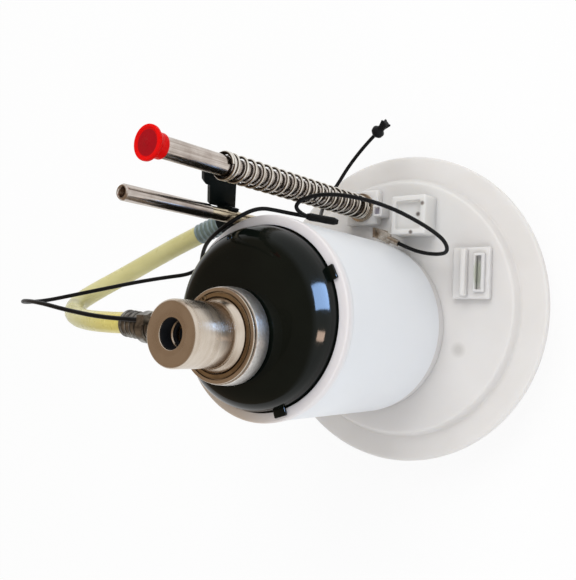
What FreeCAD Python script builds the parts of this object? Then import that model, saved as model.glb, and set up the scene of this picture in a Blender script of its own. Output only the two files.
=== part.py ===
import FreeCAD, Part
import math
import os

import Sketcher
from FreeCAD import Placement, Rotation, Vector

# In-tank fuel filter module, in millimetres, standing on the foot of its flange.
# +Z runs from the flange to the pressure regulator. The origin is the centre of the foot.

DIMENSIONS = {
    # flange
    "flange_radius": 63.0,
    "flange_edge": 0.8,
    "plate_thickness": 3.5,
    "foot_height": 13.5,
    "foot_radius": 50.0,
    "foot_wall": 3.0,
    "raised_radius": 51.5,
    "raised_slope": 1.6,
    "raised_height": 4.0,
    "pedestal_radius": 34.0,
    "pedestal_height": 4.2,
    "spring_block_width": 15.0,
    "spring_block_depth": 14.5,
    "spring_block_height": 8.0,
    "socket_depth": 10.0,
    "tube_boss_radius": 4.2,
    "tube_boss_height": 3.6,
    # towers on the tank side of the flange
    "service_tower_x": 11.5,
    "service_tower_y": 35.8,
    "service_tower_width": 15.0,
    "service_tower_depth": 15.5,
    "service_tower_height": 10.0,
    "service_tower_wall": 2.0,
    "window_box_x": -4.6,
    "window_box_y": 39.0,
    "window_box_width": 4.4,
    "window_box_depth": 5.0,
    "window_box_height": 6.5,
    "slot_tower_x": 35.5,
    "slot_tower_y": 13.0,
    "slot_tower_width": 15.0,
    "slot_tower_depth": 20.0,
    "slot_tower_height": 3.0,
    "slot_rib_height": 3.5,
    "slot_rib_thickness": 2.0,
    "slot_width": 2.4,
    "slot_depth": 13.0,
    # fuel outlets on the dry side
    "outlet_bore": 2.6,
    "outlet_radius": 3.95,
    "outlet_bead": 5.0,
    "outlet_bead_setback": 14.0,
    "outlet_height": 6.6,
    "outlet_reach": 43.6,
    "outlet_spigot": 4.0,
    "notch_clearance": 2.4,
    "return_x": 29.0,
    "return_y": -16.7,
    "return_reach": 28.5,
    # filter can
    "can_x": -11.0,
    "can_y": -8.4,
    "can_height": 67.8,
    "can_radius": 36.0,
    "can_base_radius": 35.2,
    "can_bore": 33.4,
    "can_floor": 2.4,
    "can_lip": 1.4,
    # end cap
    "cap_radius": 33.2,
    "cap_skirt": 9.0,
    "cap_wall": 2.4,
    "cap_groove_depth": 1.4,
    "cap_groove_width": 2.2,
    "cap_groove_drop": 4.7,
    "cap_crown": 11.5,
    "cap_shoulder": 9.9,
    "cap_seat_radius": 17.4,
    "cap_seat_height": 1.0,
    "cap_tab_width": 5.0,
    "cap_tab_reach": 1.5,
    "cap_tab_height": 1.6,
    "cap_tab_angle": 25.0,
    # filter element
    "element_radius": 29.5,
    "element_bore": 12.3,
    "element_height": 50.0,
    "element_disc": 1.5,
    "core_radius": 12.0,
    "core_wall": 1.2,
    "core_hole": 2.2,
    # pressure regulator
    "regulator_x": -12.8,
    "regulator_y": -15.0,
    "regulator_radius": 10.8,
    "regulator_wall": 1.5,
    "regulator_height": 28.5,
    "regulator_edge": 2.2,
    "regulator_hole": 4.9,
    "neck_radius": 12.3,
    "neck_height": 5.5,
    "crimp_radius": 15.8,
    "crimp_height": 1.4,
    "collar_radius": 16.4,
    "collar_height": 6.0,
    "collar_wall": 1.4,
    "collar_floor": 1.4,
    "nozzle_radius": 7.6,
    "nozzle_length": 8.0,
    "nozzle_seal_cord": 0.9,
    "clip_radius": 13.9,
    "clip_wire": 0.55,
    "clip_angle": 326.0,
    "clip_turn": 152.0,
    "seat_hole": 3.0,
    "seat_thickness": 2.4,
    "seat_drop": 5.0,
    "valve_radius": 4.4,
    "valve_head": 2.0,
    "valve_stem": 1.5,
    "valve_gap": 0.1,
    "valve_spring_radius": 3.7,
    "valve_spring_wire": 0.8,
    "diaphragm_hole": 4.4,
    "diaphragm_thickness": 0.6,
    # long rod, its spring and its cap
    "rod_x": -13.5,
    "rod_y": 41.0,
    "rod_radius": 3.55,
    "rod_top": 146.0,
    "spring_radius": 5.05,
    "spring_wire": 1.1,
    "spring_top": 113.6,
    "washer_radius": 6.0,
    "washer_thickness": 1.0,
    "red_disc_radius": 5.6,
    "red_collar_radius": 4.1,
    "red_collar_height": 1.9,
    "red_cap_overlap": 4.8,
    "red_cap_height": 5.7,
    "red_disc_height": 1.3,
    "red_recess": 0.4,
    "running_clearance": 0.05,
    # thin tube beside it
    "tube_x": -25.6,
    "tube_y": 27.5,
    "tube_radius": 2.3,
    "tube_joint": 106.0,
    "tube_top": 145.0,
    "tip_radius": 2.68,
    "tip_bore": 1.5,
    "tip_chamfer": 0.8,
    "spigot_radius": 1.7,
    "spigot_length": 7.0,
    # bracket across both rods
    "bracket_height": 16.8,
    "bracket_lean": 0.76,
    "bracket_thickness": 1.6,
    "bracket_offset": 5.6,
    "bracket_overhang": 0.6,
    "bracket_step": 3.0,
    "bracket_step_reach": 10.9,
    "bracket_step_bevel": 0.9,
    "saddle_wall": 1.2,
    "saddle_height": 4.0,
    "saddle_web": 2.4,
    "saddle_far_angle": 25.0,
    "saddle_near_angle": 85.0,
    # fuel hose and its fittings
    "hose_radius": 3.6,
    "ferrule_radius": 4.6,
    "ferrule_length": 12.8,
    "ferrule_groove": 0.5,
    "nipple_radius": 2.5,
    "elbow_radius": 4.0,
    # earth leads and their ends
    "lead_radius": 0.75,
    "splice_radius": 2.0,
    "splice_length": 12.0,
    "clip_band_width": 3.2,
    "clip_band_wall": 0.7,
    "clip_box_length": 3.2,
    "clip_box_side": 3.0,
    "clip_foot_height": 0.6,
    "barrel_radius": 1.25,
    "barrel_length": 5.0,
    "blade_length": 6.5,
    "blade_width": 4.0,
    "blade_thickness": 0.8,
    "tab_height": 12.0,
    "connector_length": 7.0,
    "connector_radius": 2.2,
    "connector_lobe": 1.9,
}

# Routes of the soft lines, point to point, from one end face to the other.
HOSE_ROUTE = [
    (-39.8, -12.2, 127.0),
    (-54.5, -12.2, 126.3),
    (-70.5, -11.3, 122.0),
    (-84.4, -8.7, 115.0),
    (-92.5, -4.4, 106.0),
    (-92.0, 1.0, 97.0),
    (-84.0, 7.6, 90.0),
    (-70.5, 15.0, 86.0),
    (-55.0, 21.6, 84.5),
    (-38.5, 27.1, 83.8),
]
EARTH_LEAD_ROUTE = [
    (-27.4, -11.1, 132.8),
    (-40.5, -11.0, 135.3),
    (-56.6, -8.9, 138.3),
    (-72.3, -6.4, 138.4),
    (-86.5, -5.6, 135.0),
    (-96.0, -6.0, 129.0),
    (-95.0, -5.0, 120.5),
    (-85.5, -2.3, 114.5),
    (-74.5, 1.0, 107.0),
    (-65.5, 4.0, 99.5),
    (-57.0, 6.2, 93.0),
    (-50.5, 7.6, 88.2),
    (-45.2, 10.4, 87.2),
    (-42.4, 15.2, 90.0),
    (-35.0, 19.2, 95.3),
    (-24.5, 23.4, 98.5),
    (-19.0, 28.8, 93.5),
    (-18.3, 31.5, 86.0),
    (-18.0, 31.9, 78.6),
    (-14.3, 31.2, 73.6),
    (-10.1, 30.4, 69.5),
]
LOOPED_LEAD_ROUTE = [
    (6.7, 24.8, 29.0),
    (11.2, 22.7, 28.6),
    (16.8, 20.8, 28.8),
    (23.9, 19.7, 29.5),
    (30.0, 20.0, 32.5),
    (31.4, 23.5, 38.0),
    (28.8, 26.9, 44.0),
    (25.3, 29.9, 50.5),
    (21.1, 32.7, 57.0),
    (16.3, 34.8, 63.0),
    (10.5, 36.4, 68.0),
    (4.1, 37.3, 72.0),
    (-2.4, 36.9, 75.5),
    (-8.6, 34.6, 77.5),
    (-10.6, 31.7, 75.5),
    (-8.9, 30.4, 70.8),
]
TAIL_LEAD_ROUTE = [
    (-5.9, 29.7, 66.8),
    (-9.8, 31.0, 60.5),
    (-15.0, 33.2, 53.0),
    (-19.4, 36.8, 46.0),
    (-21.4, 41.5, 40.5),
    (-20.8, 46.1, 37.0),
    (-18.8, 50.6, 35.0),
    (-16.7, 55.4, 33.5),
    (-13.3, 60.2, 32.8),
    (-7.8, 65.4, 33.2),
    (-2.2, 68.7, 35.0),
]

# How far along each run its rounded corner starts.
CORNER_SHARE = 0.45


class Size:
    """A number with the expression that ties a property to the sheet."""

    def __init__(self, value, text):
        self.value = float(value)
        self.text = text

    def __add__(self, other):
        other = as_size(other)
        return Size(self.value + other.value, f"({self.text} + {other.text})")

    def __sub__(self, other):
        other = as_size(other)
        return Size(self.value - other.value, f"({self.text} - {other.text})")

    def __mul__(self, factor):
        return Size(self.value * factor, f"({self.text} * {factor:g})")

    def __neg__(self):
        return Size(-self.value, f"(0 - {self.text})")


def as_size(number):
    """A plain number as a Size."""
    if isinstance(number, Size):
        return number
    return Size(number, f"({number:g})")


doc = FreeCAD.newDocument("fuel_filter_assembly")


def make_sheet():
    """The spreadsheet of driving dimensions, and a Size for each of its cells."""
    sheet = doc.addObject("Spreadsheet::Sheet", "dims")
    for row, (alias, value) in enumerate(DIMENSIONS.items(), start=1):
        sheet.set(f"A{row}", alias)
        sheet.set(f"B{row}", str(value))
        sheet.setAlias(f"B{row}", alias)
    doc.recompute()
    return {alias: Size(getattr(sheet, alias), f"dims.{alias}") for alias in DIMENSIONS}


D = make_sheet()

# Heights of the stacked faces, from the floor up.
PLATE_BASE = D["foot_height"]
PLATE_TOP = PLATE_BASE + D["plate_thickness"]
RAISED_TOP = PLATE_TOP + D["raised_height"]
CAN_BASE = RAISED_TOP + D["pedestal_height"]
CAN_RIM = CAN_BASE + D["can_height"]
SPRING_SEAT = PLATE_TOP + D["spring_block_height"]
CAP_TOP = CAN_RIM + D["cap_crown"]
COLLAR_BASE = CAP_TOP + D["cap_seat_height"]
COLLAR_TOP = COLLAR_BASE + D["collar_height"]
REGULATOR_FRONT = COLLAR_BASE + D["regulator_height"]
SEAT_BASE = REGULATOR_FRONT - D["seat_drop"] - D["seat_thickness"]
ORIGIN = as_size(0)

node_objects = []


def keep(piece, label):
    """Marks an object of the document as one node of the part."""
    piece.Label = label
    node_objects.append(piece)
    return piece


def place(piece, x, y, z, rotation=None):
    """Ties an object's position to the sheet."""
    if rotation is not None:
        piece.Placement = Placement(Vector(), rotation)
    for axis, size in (("x", x), ("y", y), ("z", z)):
        piece.setExpression(f"Placement.Base.{axis}", as_size(size).text)
    return piece


def new_body(label, x=ORIGIN, y=ORIGIN, z=ORIGIN, rotation=None):
    """A body with its own origin, kept as a node."""
    body = keep(doc.addObject("PartDesign::Body", label), label)
    return place(body, x, y, z, rotation)


def new_sketch(body, name, role, offset=None):
    """A sketch on one of the body's own origin planes."""
    sketch = body.newObject("Sketcher::SketchObject", name)
    plane = [item for item in body.Origin.OriginFeatures if item.Role == role][0]
    sketch.AttachmentSupport = [(plane, "")]
    sketch.MapMode = "FlatFace"
    if offset is not None:
        sketch.setExpression("AttachmentOffset.Base.z", as_size(offset).text)
    return sketch


def tie_point(sketch, geometry, end, x, y):
    """Fixes a point of a sketch at two sheet sizes from the origin."""
    for kind, size, axis in (("DistanceX", x, -2), ("DistanceY", y, -1)):
        if size.value == 0:
            sketch.addConstraint(Sketcher.Constraint("PointOnObject", geometry, end, axis))
            continue
        index = sketch.addConstraint(
            Sketcher.Constraint(kind, -1, 1, geometry, end, size.value))
        sketch.setExpression(f"Constraints[{index}]", size.text)


def arc_between(first, last, radius):
    """The short arc from first to last, counter-clockwise for a positive radius."""
    chord = last - first
    side = Vector(-chord.y, chord.x, 0).normalize() * math.copysign(1, radius)
    rise = math.sqrt(max(radius ** 2 - (chord.Length / 2) ** 2, 0))
    centre = (first + last) * 0.5 + side * rise
    if radius < 0:
        first, last = last, first
    start = math.atan2(first.y - centre.y, first.x - centre.x)
    stop = math.atan2(last.y - centre.y, last.x - centre.x)
    circle = Part.Circle(centre, Vector(0, 0, 1), abs(radius))
    return Part.ArcOfCircle(circle, start, stop)


def draw_outline(sketch, corners):
    """A closed outline. A corner is (x, y), or (x, y, radius) where an arc leaves it."""
    sizes = [[as_size(value) for value in corner] for corner in corners]
    ends = []
    for index, corner in enumerate(sizes):
        following = sizes[(index + 1) % len(sizes)]
        first = Vector(corner[0].value, corner[1].value, 0)
        last = Vector(following[0].value, following[1].value, 0)
        if len(corner) == 2:
            sketch.addGeometry(Part.LineSegment(first, last), False)
            ends.append((1, 2))
            continue
        radius = corner[2]
        sketch.addGeometry(arc_between(first, last, radius.value), False)
        ends.append((1, 2) if radius.value > 0 else (2, 1))
    for index, corner in enumerate(sizes):
        following = (index + 1) % len(sizes)
        sketch.addConstraint(Sketcher.Constraint(
            "Coincident", index, ends[index][1], following, ends[following][0]))
    for index, corner in enumerate(sizes):
        tie_point(sketch, index, ends[index][0], corner[0], corner[1])
        if len(corner) == 3:
            radius = corner[2] if corner[2].value > 0 else -corner[2]
            constraint = sketch.addConstraint(
                Sketcher.Constraint("Radius", index, radius.value))
            sketch.setExpression(f"Constraints[{constraint}]", radius.text)


def draw_circle(sketch, x, y, radius):
    """A circle whose centre and radius come from the sheet."""
    x, y = as_size(x), as_size(y)
    circle = Part.Circle(Vector(x.value, y.value, 0), Vector(0, 0, 1), radius.value)
    geometry = sketch.addGeometry(circle, False)
    tie_point(sketch, geometry, 3, x, y)
    index = sketch.addConstraint(Sketcher.Constraint("Radius", geometry, radius.value))
    sketch.setExpression(f"Constraints[{index}]", radius.text)


def turn(body, name, corners, groove=False, angle=None):
    """Turns an outline of (radius, height) corners about the body's Z axis."""
    sketch = new_sketch(body, f"{name}_outline", "XZ_Plane")
    draw_outline(sketch, corners)
    kind = "PartDesign::Groove" if groove else "PartDesign::Revolution"
    feature = body.newObject(kind, name)
    feature.Profile = sketch
    feature.ReferenceAxis = (sketch, ["V_Axis"])
    feature.Angle = 360.0
    if angle is not None:
        feature.setExpression("Angle", angle.text)
    return feature


def extrude(body, name, sketch, length, pocket=False):
    """A pad up from a sketch, or a pocket down from it."""
    feature = body.newObject("PartDesign::Pocket" if pocket else "PartDesign::Pad", name)
    feature.Profile = sketch
    feature.setExpression("Length", as_size(length).text)
    return feature


def block(body, name, x, y, width, depth, base, height, pocket=False):
    """A rectangular pad with its middle at x, y, or a pocket of that shape."""
    sketch = new_sketch(body, f"{name}_outline", "XY_Plane", base)
    left, right = x - width * 0.5, x + width * 0.5
    low, high = y - depth * 0.5, y + depth * 0.5
    draw_outline(sketch, [(left, low), (right, low), (right, high), (left, high)])
    return extrude(body, name, sketch, height, pocket)


def boss(body, name, x, y, radius, base, height, pocket=False):
    """A round pad with its middle at x, y, or a round hole of that depth."""
    sketch = new_sketch(body, f"{name}_outline", "XY_Plane", base)
    draw_circle(sketch, x, y, radius)
    return extrude(body, name, sketch, height, pocket)


def ring(label, outer, inner, height, x, y, z):
    """A plain tube or washer, turned about its own axis."""
    body = new_body(label, x, y, z)
    turn(body, "section", [(inner, 0), (outer, 0), (outer, height), (inner, height)])
    return body


def torus(label, major, minor, x, y, z):
    """A rubber ring."""
    piece = keep(doc.addObject("Part::Torus", label), label)
    piece.setExpression("Radius1", major.text)
    piece.setExpression("Radius2", minor.text)
    return place(piece, x, y, z)


def rod_shape(radius, start, end):
    """A solid cylinder from one point to another."""
    span = end - start
    return Part.makeCylinder(radius, span.Length, start, span)


def feature(label, shape):
    """Keeps a shape that no parametric feature suits, such as one on a slanted line."""
    piece = keep(doc.addObject("Part::Feature", label), label)
    piece.Shape = shape
    piece.Placement = Placement()
    return piece


def make_flange():
    """Milky plate: outer ring, raised disc, can pedestal, towers and the foot below."""
    body = new_body("flange")
    foot_inner = D["foot_radius"] - D["foot_wall"]
    edge = D["flange_edge"]
    rim = D["flange_radius"]
    turn(body, "plate", [
        (0, PLATE_BASE),
        (foot_inner, PLATE_BASE),
        (foot_inner, 0),
        (D["foot_radius"], 0),
        (D["foot_radius"], PLATE_BASE),
        (rim - edge, PLATE_BASE, edge),
        (rim, PLATE_BASE + edge),
        (rim, PLATE_TOP - edge, edge),
        (rim - edge, PLATE_TOP),
        (D["raised_radius"] + D["raised_slope"], PLATE_TOP),
        (D["raised_radius"], RAISED_TOP),
        (0, RAISED_TOP),
    ])
    boss(body, "pedestal", D["can_x"], D["can_y"], D["pedestal_radius"],
         RAISED_TOP, D["pedestal_height"])
    block(body, "spring_block", D["rod_x"], D["rod_y"], D["spring_block_width"],
          D["spring_block_depth"], PLATE_TOP, D["spring_block_height"])
    boss(body, "tube_boss", D["tube_x"], D["tube_y"], D["tube_boss_radius"],
         RAISED_TOP, D["tube_boss_height"])
    make_towers(body)
    make_sockets(body)
    make_outlet_openings(body)


def make_towers(body):
    """The moulded towers that stand on the raised disc."""
    tower = ("service_tower", D["service_tower_x"], D["service_tower_y"])
    width, depth = D["service_tower_width"], D["service_tower_depth"]
    wall = D["service_tower_wall"]
    block(body, tower[0], tower[1], tower[2], width, depth, RAISED_TOP,
          D["service_tower_height"])
    block(body, "service_tower_well", tower[1], tower[2], width - wall * 2,
          depth - wall * 2, RAISED_TOP + D["service_tower_height"],
          D["service_tower_height"] - wall, pocket=True)
    block(body, "window_box", D["window_box_x"], D["window_box_y"],
          D["window_box_width"], D["window_box_depth"], RAISED_TOP,
          D["window_box_height"])
    x, y = D["slot_tower_x"], D["slot_tower_y"]
    block(body, "slot_tower", x, y, D["slot_tower_width"], D["slot_tower_depth"],
          RAISED_TOP, D["slot_tower_height"])
    top = RAISED_TOP + D["slot_tower_height"]
    rib = D["slot_rib_thickness"]
    block(body, "slot_rib", x - rib, y, rib, D["slot_tower_depth"] - rib, top,
          D["slot_rib_height"])
    slot_x = x + D["slot_tower_width"] * 0.25
    block(body, "slot_rim", slot_x, y, D["slot_width"] + rib, D["slot_depth"] + rib,
          top, D["slot_rib_height"] * 0.5)
    block(body, "slot", slot_x, y, D["slot_width"], D["slot_depth"],
          top + D["slot_rib_height"] * 0.5, D["slot_rib_height"] * 0.5
          + D["slot_tower_height"], pocket=True)


def make_sockets(body):
    """Blind holes that hold the feet of the rod and the tube."""
    boss(body, "rod_socket", D["rod_x"], D["rod_y"], D["rod_radius"], SPRING_SEAT,
         D["socket_depth"], pocket=True)
    boss(body, "tube_socket", D["tube_x"], D["tube_y"], D["tube_radius"],
         RAISED_TOP + D["tube_boss_height"], D["socket_depth"], pocket=True)


def make_outlet_openings(body):
    """Fuel passage under the can, and notches in the foot for the two nozzles."""
    depth = D["pedestal_height"] + D["raised_height"] + D["plate_thickness"]
    boss(body, "outlet_passage", D["can_x"], D["can_y"], D["outlet_spigot"], CAN_BASE,
         depth, pocket=True)
    boss(body, "return_passage", D["return_x"], D["return_y"], D["outlet_spigot"],
         PLATE_TOP, D["plate_thickness"], pocket=True)
    width = (D["outlet_radius"] + D["notch_clearance"]) * 2
    top = D["outlet_height"] + D["outlet_radius"] + D["notch_clearance"]
    foot_span = D["foot_radius"] * 0.5
    for name, x in (("outlet_notch", D["can_x"]), ("return_notch", D["return_x"])):
        block(body, name, x, -(foot_span * 1.6), width, foot_span, top, top, pocket=True)


def make_can():
    """White shell of the filter: slightly tapered, with a wider lip and a holed floor."""
    body = new_body("filter_can", D["can_x"], D["can_y"], CAN_BASE)
    height, lip = D["can_height"], D["can_lip"]
    turn(body, "shell", [
        (D["outlet_spigot"], 0),
        (D["can_base_radius"] - lip, 0, lip),
        (D["can_base_radius"], lip),
        (D["can_radius"] - 0.4, height - lip * 3),
        (D["can_radius"], height - lip * 2),
        (D["can_radius"], height - 0.5, 0.5),
        (D["can_radius"] - 0.5, height),
        (D["can_bore"] + 0.5, height, 0.5),
        (D["can_bore"], height - 0.5),
        (D["can_bore"], D["can_floor"]),
        (D["outlet_spigot"], D["can_floor"]),
    ])


def make_end_cap():
    """Black domed cap inside the can's rim, with a seat for the regulator and four tabs."""
    body = new_body("end_cap", D["can_x"], D["can_y"], CAN_RIM)
    radius, crown, wall = D["cap_radius"], D["cap_crown"], D["cap_wall"]
    shoulder, skirt = D["cap_shoulder"], D["cap_skirt"]
    inner = radius - wall
    groove_floor = radius - D["cap_groove_depth"]
    groove_top = -(D["cap_groove_drop"] - D["cap_groove_width"] * 0.5)
    groove_base = -(D["cap_groove_drop"] + D["cap_groove_width"] * 0.5)
    turn(body, "dome", [
        (0, crown - wall),
        (radius - shoulder, crown - wall, -(shoulder - wall)),
        (inner, crown - shoulder),
        (inner, -skirt),
        (radius, -skirt),
        (radius, groove_base),
        (groove_floor, groove_base),
        (groove_floor, groove_top),
        (radius, groove_top),
        (radius, crown - shoulder, shoulder),
        (radius - shoulder, crown),
        (0, crown),
    ])
    seat_x, seat_y = D["regulator_x"] - D["can_x"], D["regulator_y"] - D["can_y"]
    boss(body, "regulator_seat", seat_x, seat_y, D["cap_seat_radius"], crown,
         D["cap_seat_height"])
    boss(body, "regulator_port", seat_x, seat_y, D["nozzle_radius"] + 0.1,
         crown + D["cap_seat_height"], wall + D["cap_seat_height"], pocket=True)
    tab = new_sketch(body, "tab_outline", "XY_Plane")
    half = D["cap_tab_width"] * 0.5
    draw_outline(tab, [
        (radius - wall * 0.5, -half),
        (radius + D["cap_tab_reach"], -half),
        (radius + D["cap_tab_reach"], half),
        (radius - wall * 0.5, half),
    ])
    tab.setExpression("AttachmentOffset.Rotation.Angle", D["cap_tab_angle"].text)
    first = extrude(body, "tab", tab, D["cap_tab_height"])
    axis = [item for item in body.Origin.OriginFeatures if item.Role == "Z_Axis"][0]
    pattern = body.newObject("PartDesign::PolarPattern", "tabs")
    pattern.Originals = [first]
    pattern.Axis = (axis, [""])
    pattern.Angle = 360.0
    pattern.Occurrences = 4
    body.Tip = pattern


def make_filter_inside():
    """Pleated element with its end discs, its core, and the rubber rings of the can."""
    x, y = D["can_x"], D["can_y"]
    base = CAN_BASE + D["can_floor"]
    disc, height = D["element_disc"], D["element_height"]
    ring("element_disc_bottom", D["element_radius"] + 0.8, D["outlet_spigot"], disc,
         x, y, base)
    ring("filter_element", D["element_radius"], D["element_bore"], height,
         x, y, base + disc)
    ring("element_disc_top", D["element_radius"] + 0.8, D["outlet_spigot"], disc,
         x, y, base + disc + height)
    core = new_body("centre_tube", x, y, base + disc)
    turn(core, "wall", [
        (D["core_radius"] - D["core_wall"], 0),
        (D["core_radius"], 0),
        (D["core_radius"], height),
        (D["core_radius"] - D["core_wall"], height),
    ])
    holes = new_sketch(core, "hole_outline", "YZ_Plane")
    for share in (0.25, 0.5, 0.75):
        draw_circle(holes, 0, height * share, D["core_hole"])
    first = extrude(core, "holes", holes, D["core_radius"] * 1.2, pocket=True)
    first.Midplane = False
    first.Reversed = True
    axis = [item for item in core.Origin.OriginFeatures if item.Role == "Z_Axis"][0]
    pattern = core.newObject("PartDesign::PolarPattern", "hole_rows")
    pattern.Originals = [first]
    pattern.Axis = (axis, [""])
    pattern.Angle = 360.0
    pattern.Occurrences = 5
    core.Tip = pattern
    groove_floor = D["cap_radius"] - D["cap_groove_depth"]
    cord = (D["can_bore"] - groove_floor) * 0.5
    torus("cap_seal", groove_floor + cord, cord, x, y, CAN_RIM - D["cap_groove_drop"])
    ring_cord = D["nozzle_seal_cord"]
    torus("nozzle_seal", D["nozzle_radius"] + ring_cord, ring_cord, D["regulator_x"],
          D["regulator_y"], CAP_TOP - D["cap_wall"] - ring_cord)


def make_regulator_shell():
    """Steel front of the regulator: rolled front edge, flared neck and crimped flange."""
    body = new_body("regulator_shell", D["regulator_x"], D["regulator_y"], COLLAR_TOP)
    front = D["regulator_height"] - D["collar_height"]
    radius, wall, edge = D["regulator_radius"], D["regulator_wall"], D["regulator_edge"]
    crimp, neck = D["crimp_height"], D["neck_radius"]
    neck_top = D["neck_height"]
    turn(body, "shell", [
        (D["diaphragm_hole"] + wall * 3, 0),
        (D["crimp_radius"], 0),
        (D["crimp_radius"], crimp),
        (D["clip_radius"] + D["clip_wire"] * 2, crimp),
        (D["clip_radius"] + D["clip_wire"] * 2, crimp * 0.6),
        (neck, crimp * 0.6),
        (neck, neck_top * 0.6, -3.2),
        (radius, neck_top),
        (radius, front - edge, edge),
        (radius - edge, front),
        (D["regulator_hole"] + 0.5, front, 0.5),
        (D["regulator_hole"], front - 0.5),
        (D["regulator_hole"], front - wall * 1.5),
        (radius - wall, front - wall * 1.5),
        (radius - wall, crimp * 0.6),
    ])


def make_regulator_inside():
    """Seat, moving valve with its spring, and the diaphragm between the two halves."""
    x, y = D["regulator_x"], D["regulator_y"]
    bore = D["regulator_radius"] - D["regulator_wall"]
    ring("valve_seat", bore, D["seat_hole"], D["seat_thickness"], x, y, SEAT_BASE)
    valve_top = SEAT_BASE - D["valve_gap"]
    stem_base = COLLAR_BASE + D["collar_floor"] + D["valve_head"] * 2
    valve = new_body("regulator_valve", x, y, stem_base)
    length = valve_top - stem_base
    turn(valve, "plunger", [
        (0, 0),
        (D["valve_stem"], 0),
        (D["valve_stem"], length - D["valve_head"]),
        (D["valve_radius"], length - D["valve_head"]),
        (D["valve_radius"], length - 0.4),
        (D["valve_radius"] - 0.4, length),
        (0, length),
    ])
    spring_base = COLLAR_BASE + D["collar_floor"]
    ring("valve_spring", D["valve_spring_radius"],
         D["valve_spring_radius"] - D["valve_spring_wire"],
         valve_top - D["valve_head"] - spring_base, x, y, spring_base)
    ring("diaphragm", D["collar_radius"] - D["collar_wall"], D["diaphragm_hole"],
         D["diaphragm_thickness"], x, y, COLLAR_TOP - D["diaphragm_thickness"])


def make_regulator_collar():
    """Brushed cup behind the shell, with the nozzle that passes into the end cap."""
    body = new_body("regulator_collar", D["regulator_x"], D["regulator_y"], COLLAR_BASE)
    outer, height = D["collar_radius"], D["collar_height"]
    inner = outer - D["collar_wall"]
    nozzle = D["nozzle_radius"]
    turn(body, "cup", [
        (nozzle * 0.4, -D["nozzle_length"]),
        (nozzle, -D["nozzle_length"]),
        (nozzle, 0),
        (outer, 0),
        (outer, height * 0.4),
        (outer - 0.3, height),
        (inner, height),
        (inner, D["collar_floor"]),
        (nozzle * 0.4, D["collar_floor"]),
    ])


def make_regulator_clip():
    """Wire circlip on the crimped flange, open at one side."""
    height = COLLAR_TOP + D["crimp_height"] * 0.6 + D["clip_wire"]
    turned = Rotation(Vector(0, 0, 1), D["clip_turn"].value)
    body = new_body("regulator_clip", D["regulator_x"], D["regulator_y"], height, turned)
    sketch = new_sketch(body, "wire_outline", "XZ_Plane")
    draw_circle(sketch, D["clip_radius"], 0, D["clip_wire"])
    wire = body.newObject("PartDesign::Revolution", "wire")
    wire.Profile = sketch
    wire.ReferenceAxis = (sketch, ["V_Axis"])
    wire.setExpression("Angle", D["clip_angle"].text)


def make_long_rod():
    """Long rod with its washer, spring and pull-off red cap."""
    x, y = D["rod_x"], D["rod_y"]
    foot = SPRING_SEAT - D["socket_depth"]
    rod = new_body("guide_rod", x, y, foot)
    length, radius = D["rod_top"] - foot, D["rod_radius"]
    turn(rod, "rod", [
        (0, 0), (radius, 0), (radius, length - 0.6), (radius - 0.6, length), (0, length)])
    ring("spring_washer", D["washer_radius"], radius + 0.1, D["washer_thickness"],
         x, y, SPRING_SEAT)
    spring_base = SPRING_SEAT + D["washer_thickness"]
    ring("rod_spring", D["spring_radius"], D["spring_radius"] - D["spring_wire"],
         D["spring_top"] - spring_base, x, y, spring_base)
    make_red_cap(x, y)


def make_red_cap(x, y):
    """Red plastic cap: a collar over the rod's end and a flared disc with a dished face."""
    overlap, total = D["red_cap_overlap"], D["red_cap_height"]
    cap = new_body("red_cap", x, y, D["rod_top"] - overlap)
    bore = D["rod_radius"] + D["running_clearance"]
    disc, collar = D["red_disc_radius"], D["red_collar_radius"]
    flare_top = total - D["red_disc_height"]
    turn(cap, "cap", [
        (bore, 0),
        (collar - 0.3, 0),
        (collar, 0.3),
        (collar, D["red_collar_height"]),
        (disc - 0.5, flare_top),
        (disc, flare_top + 0.5),
        (disc, total - 0.5, 0.5),
        (disc - 0.5, total),
        (disc - 1.2, total),
        (disc - 1.8, total - D["red_recess"]),
        (0, total - D["red_recess"]),
        (0, overlap),
        (bore, overlap),
    ])


def make_thin_tube():
    """Thin tube in two lengths: the lower one plugs into the wider upper one."""
    x, y = D["tube_x"], D["tube_y"]
    foot = RAISED_TOP + D["tube_boss_height"] - D["socket_depth"]
    lower = new_body("feed_tube", x, y, foot)
    shoulder = D["tube_joint"] - foot
    turn(lower, "tube", [
        (D["spigot_radius"] - 0.6, 0),
        (D["tube_radius"], 0),
        (D["tube_radius"], shoulder),
        (D["spigot_radius"], shoulder),
        (D["spigot_radius"], shoulder + D["spigot_length"]),
        (D["spigot_radius"] - 0.6, shoulder + D["spigot_length"]),
    ])
    upper = new_body("feed_tube_tip", x, y, D["tube_joint"])
    length, chamfer = D["tube_top"] - D["tube_joint"], D["tip_chamfer"]
    turn(upper, "tube", [
        (D["spigot_radius"], 0),
        (D["tip_radius"], 0),
        (D["tip_radius"], length - chamfer),
        (D["tip_radius"] - chamfer * 0.6, length),
        (D["tip_bore"], length),
        (D["tip_bore"], D["spigot_length"] + 0.2),
        (D["spigot_radius"], D["spigot_length"] + 0.2),
    ])


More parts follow.
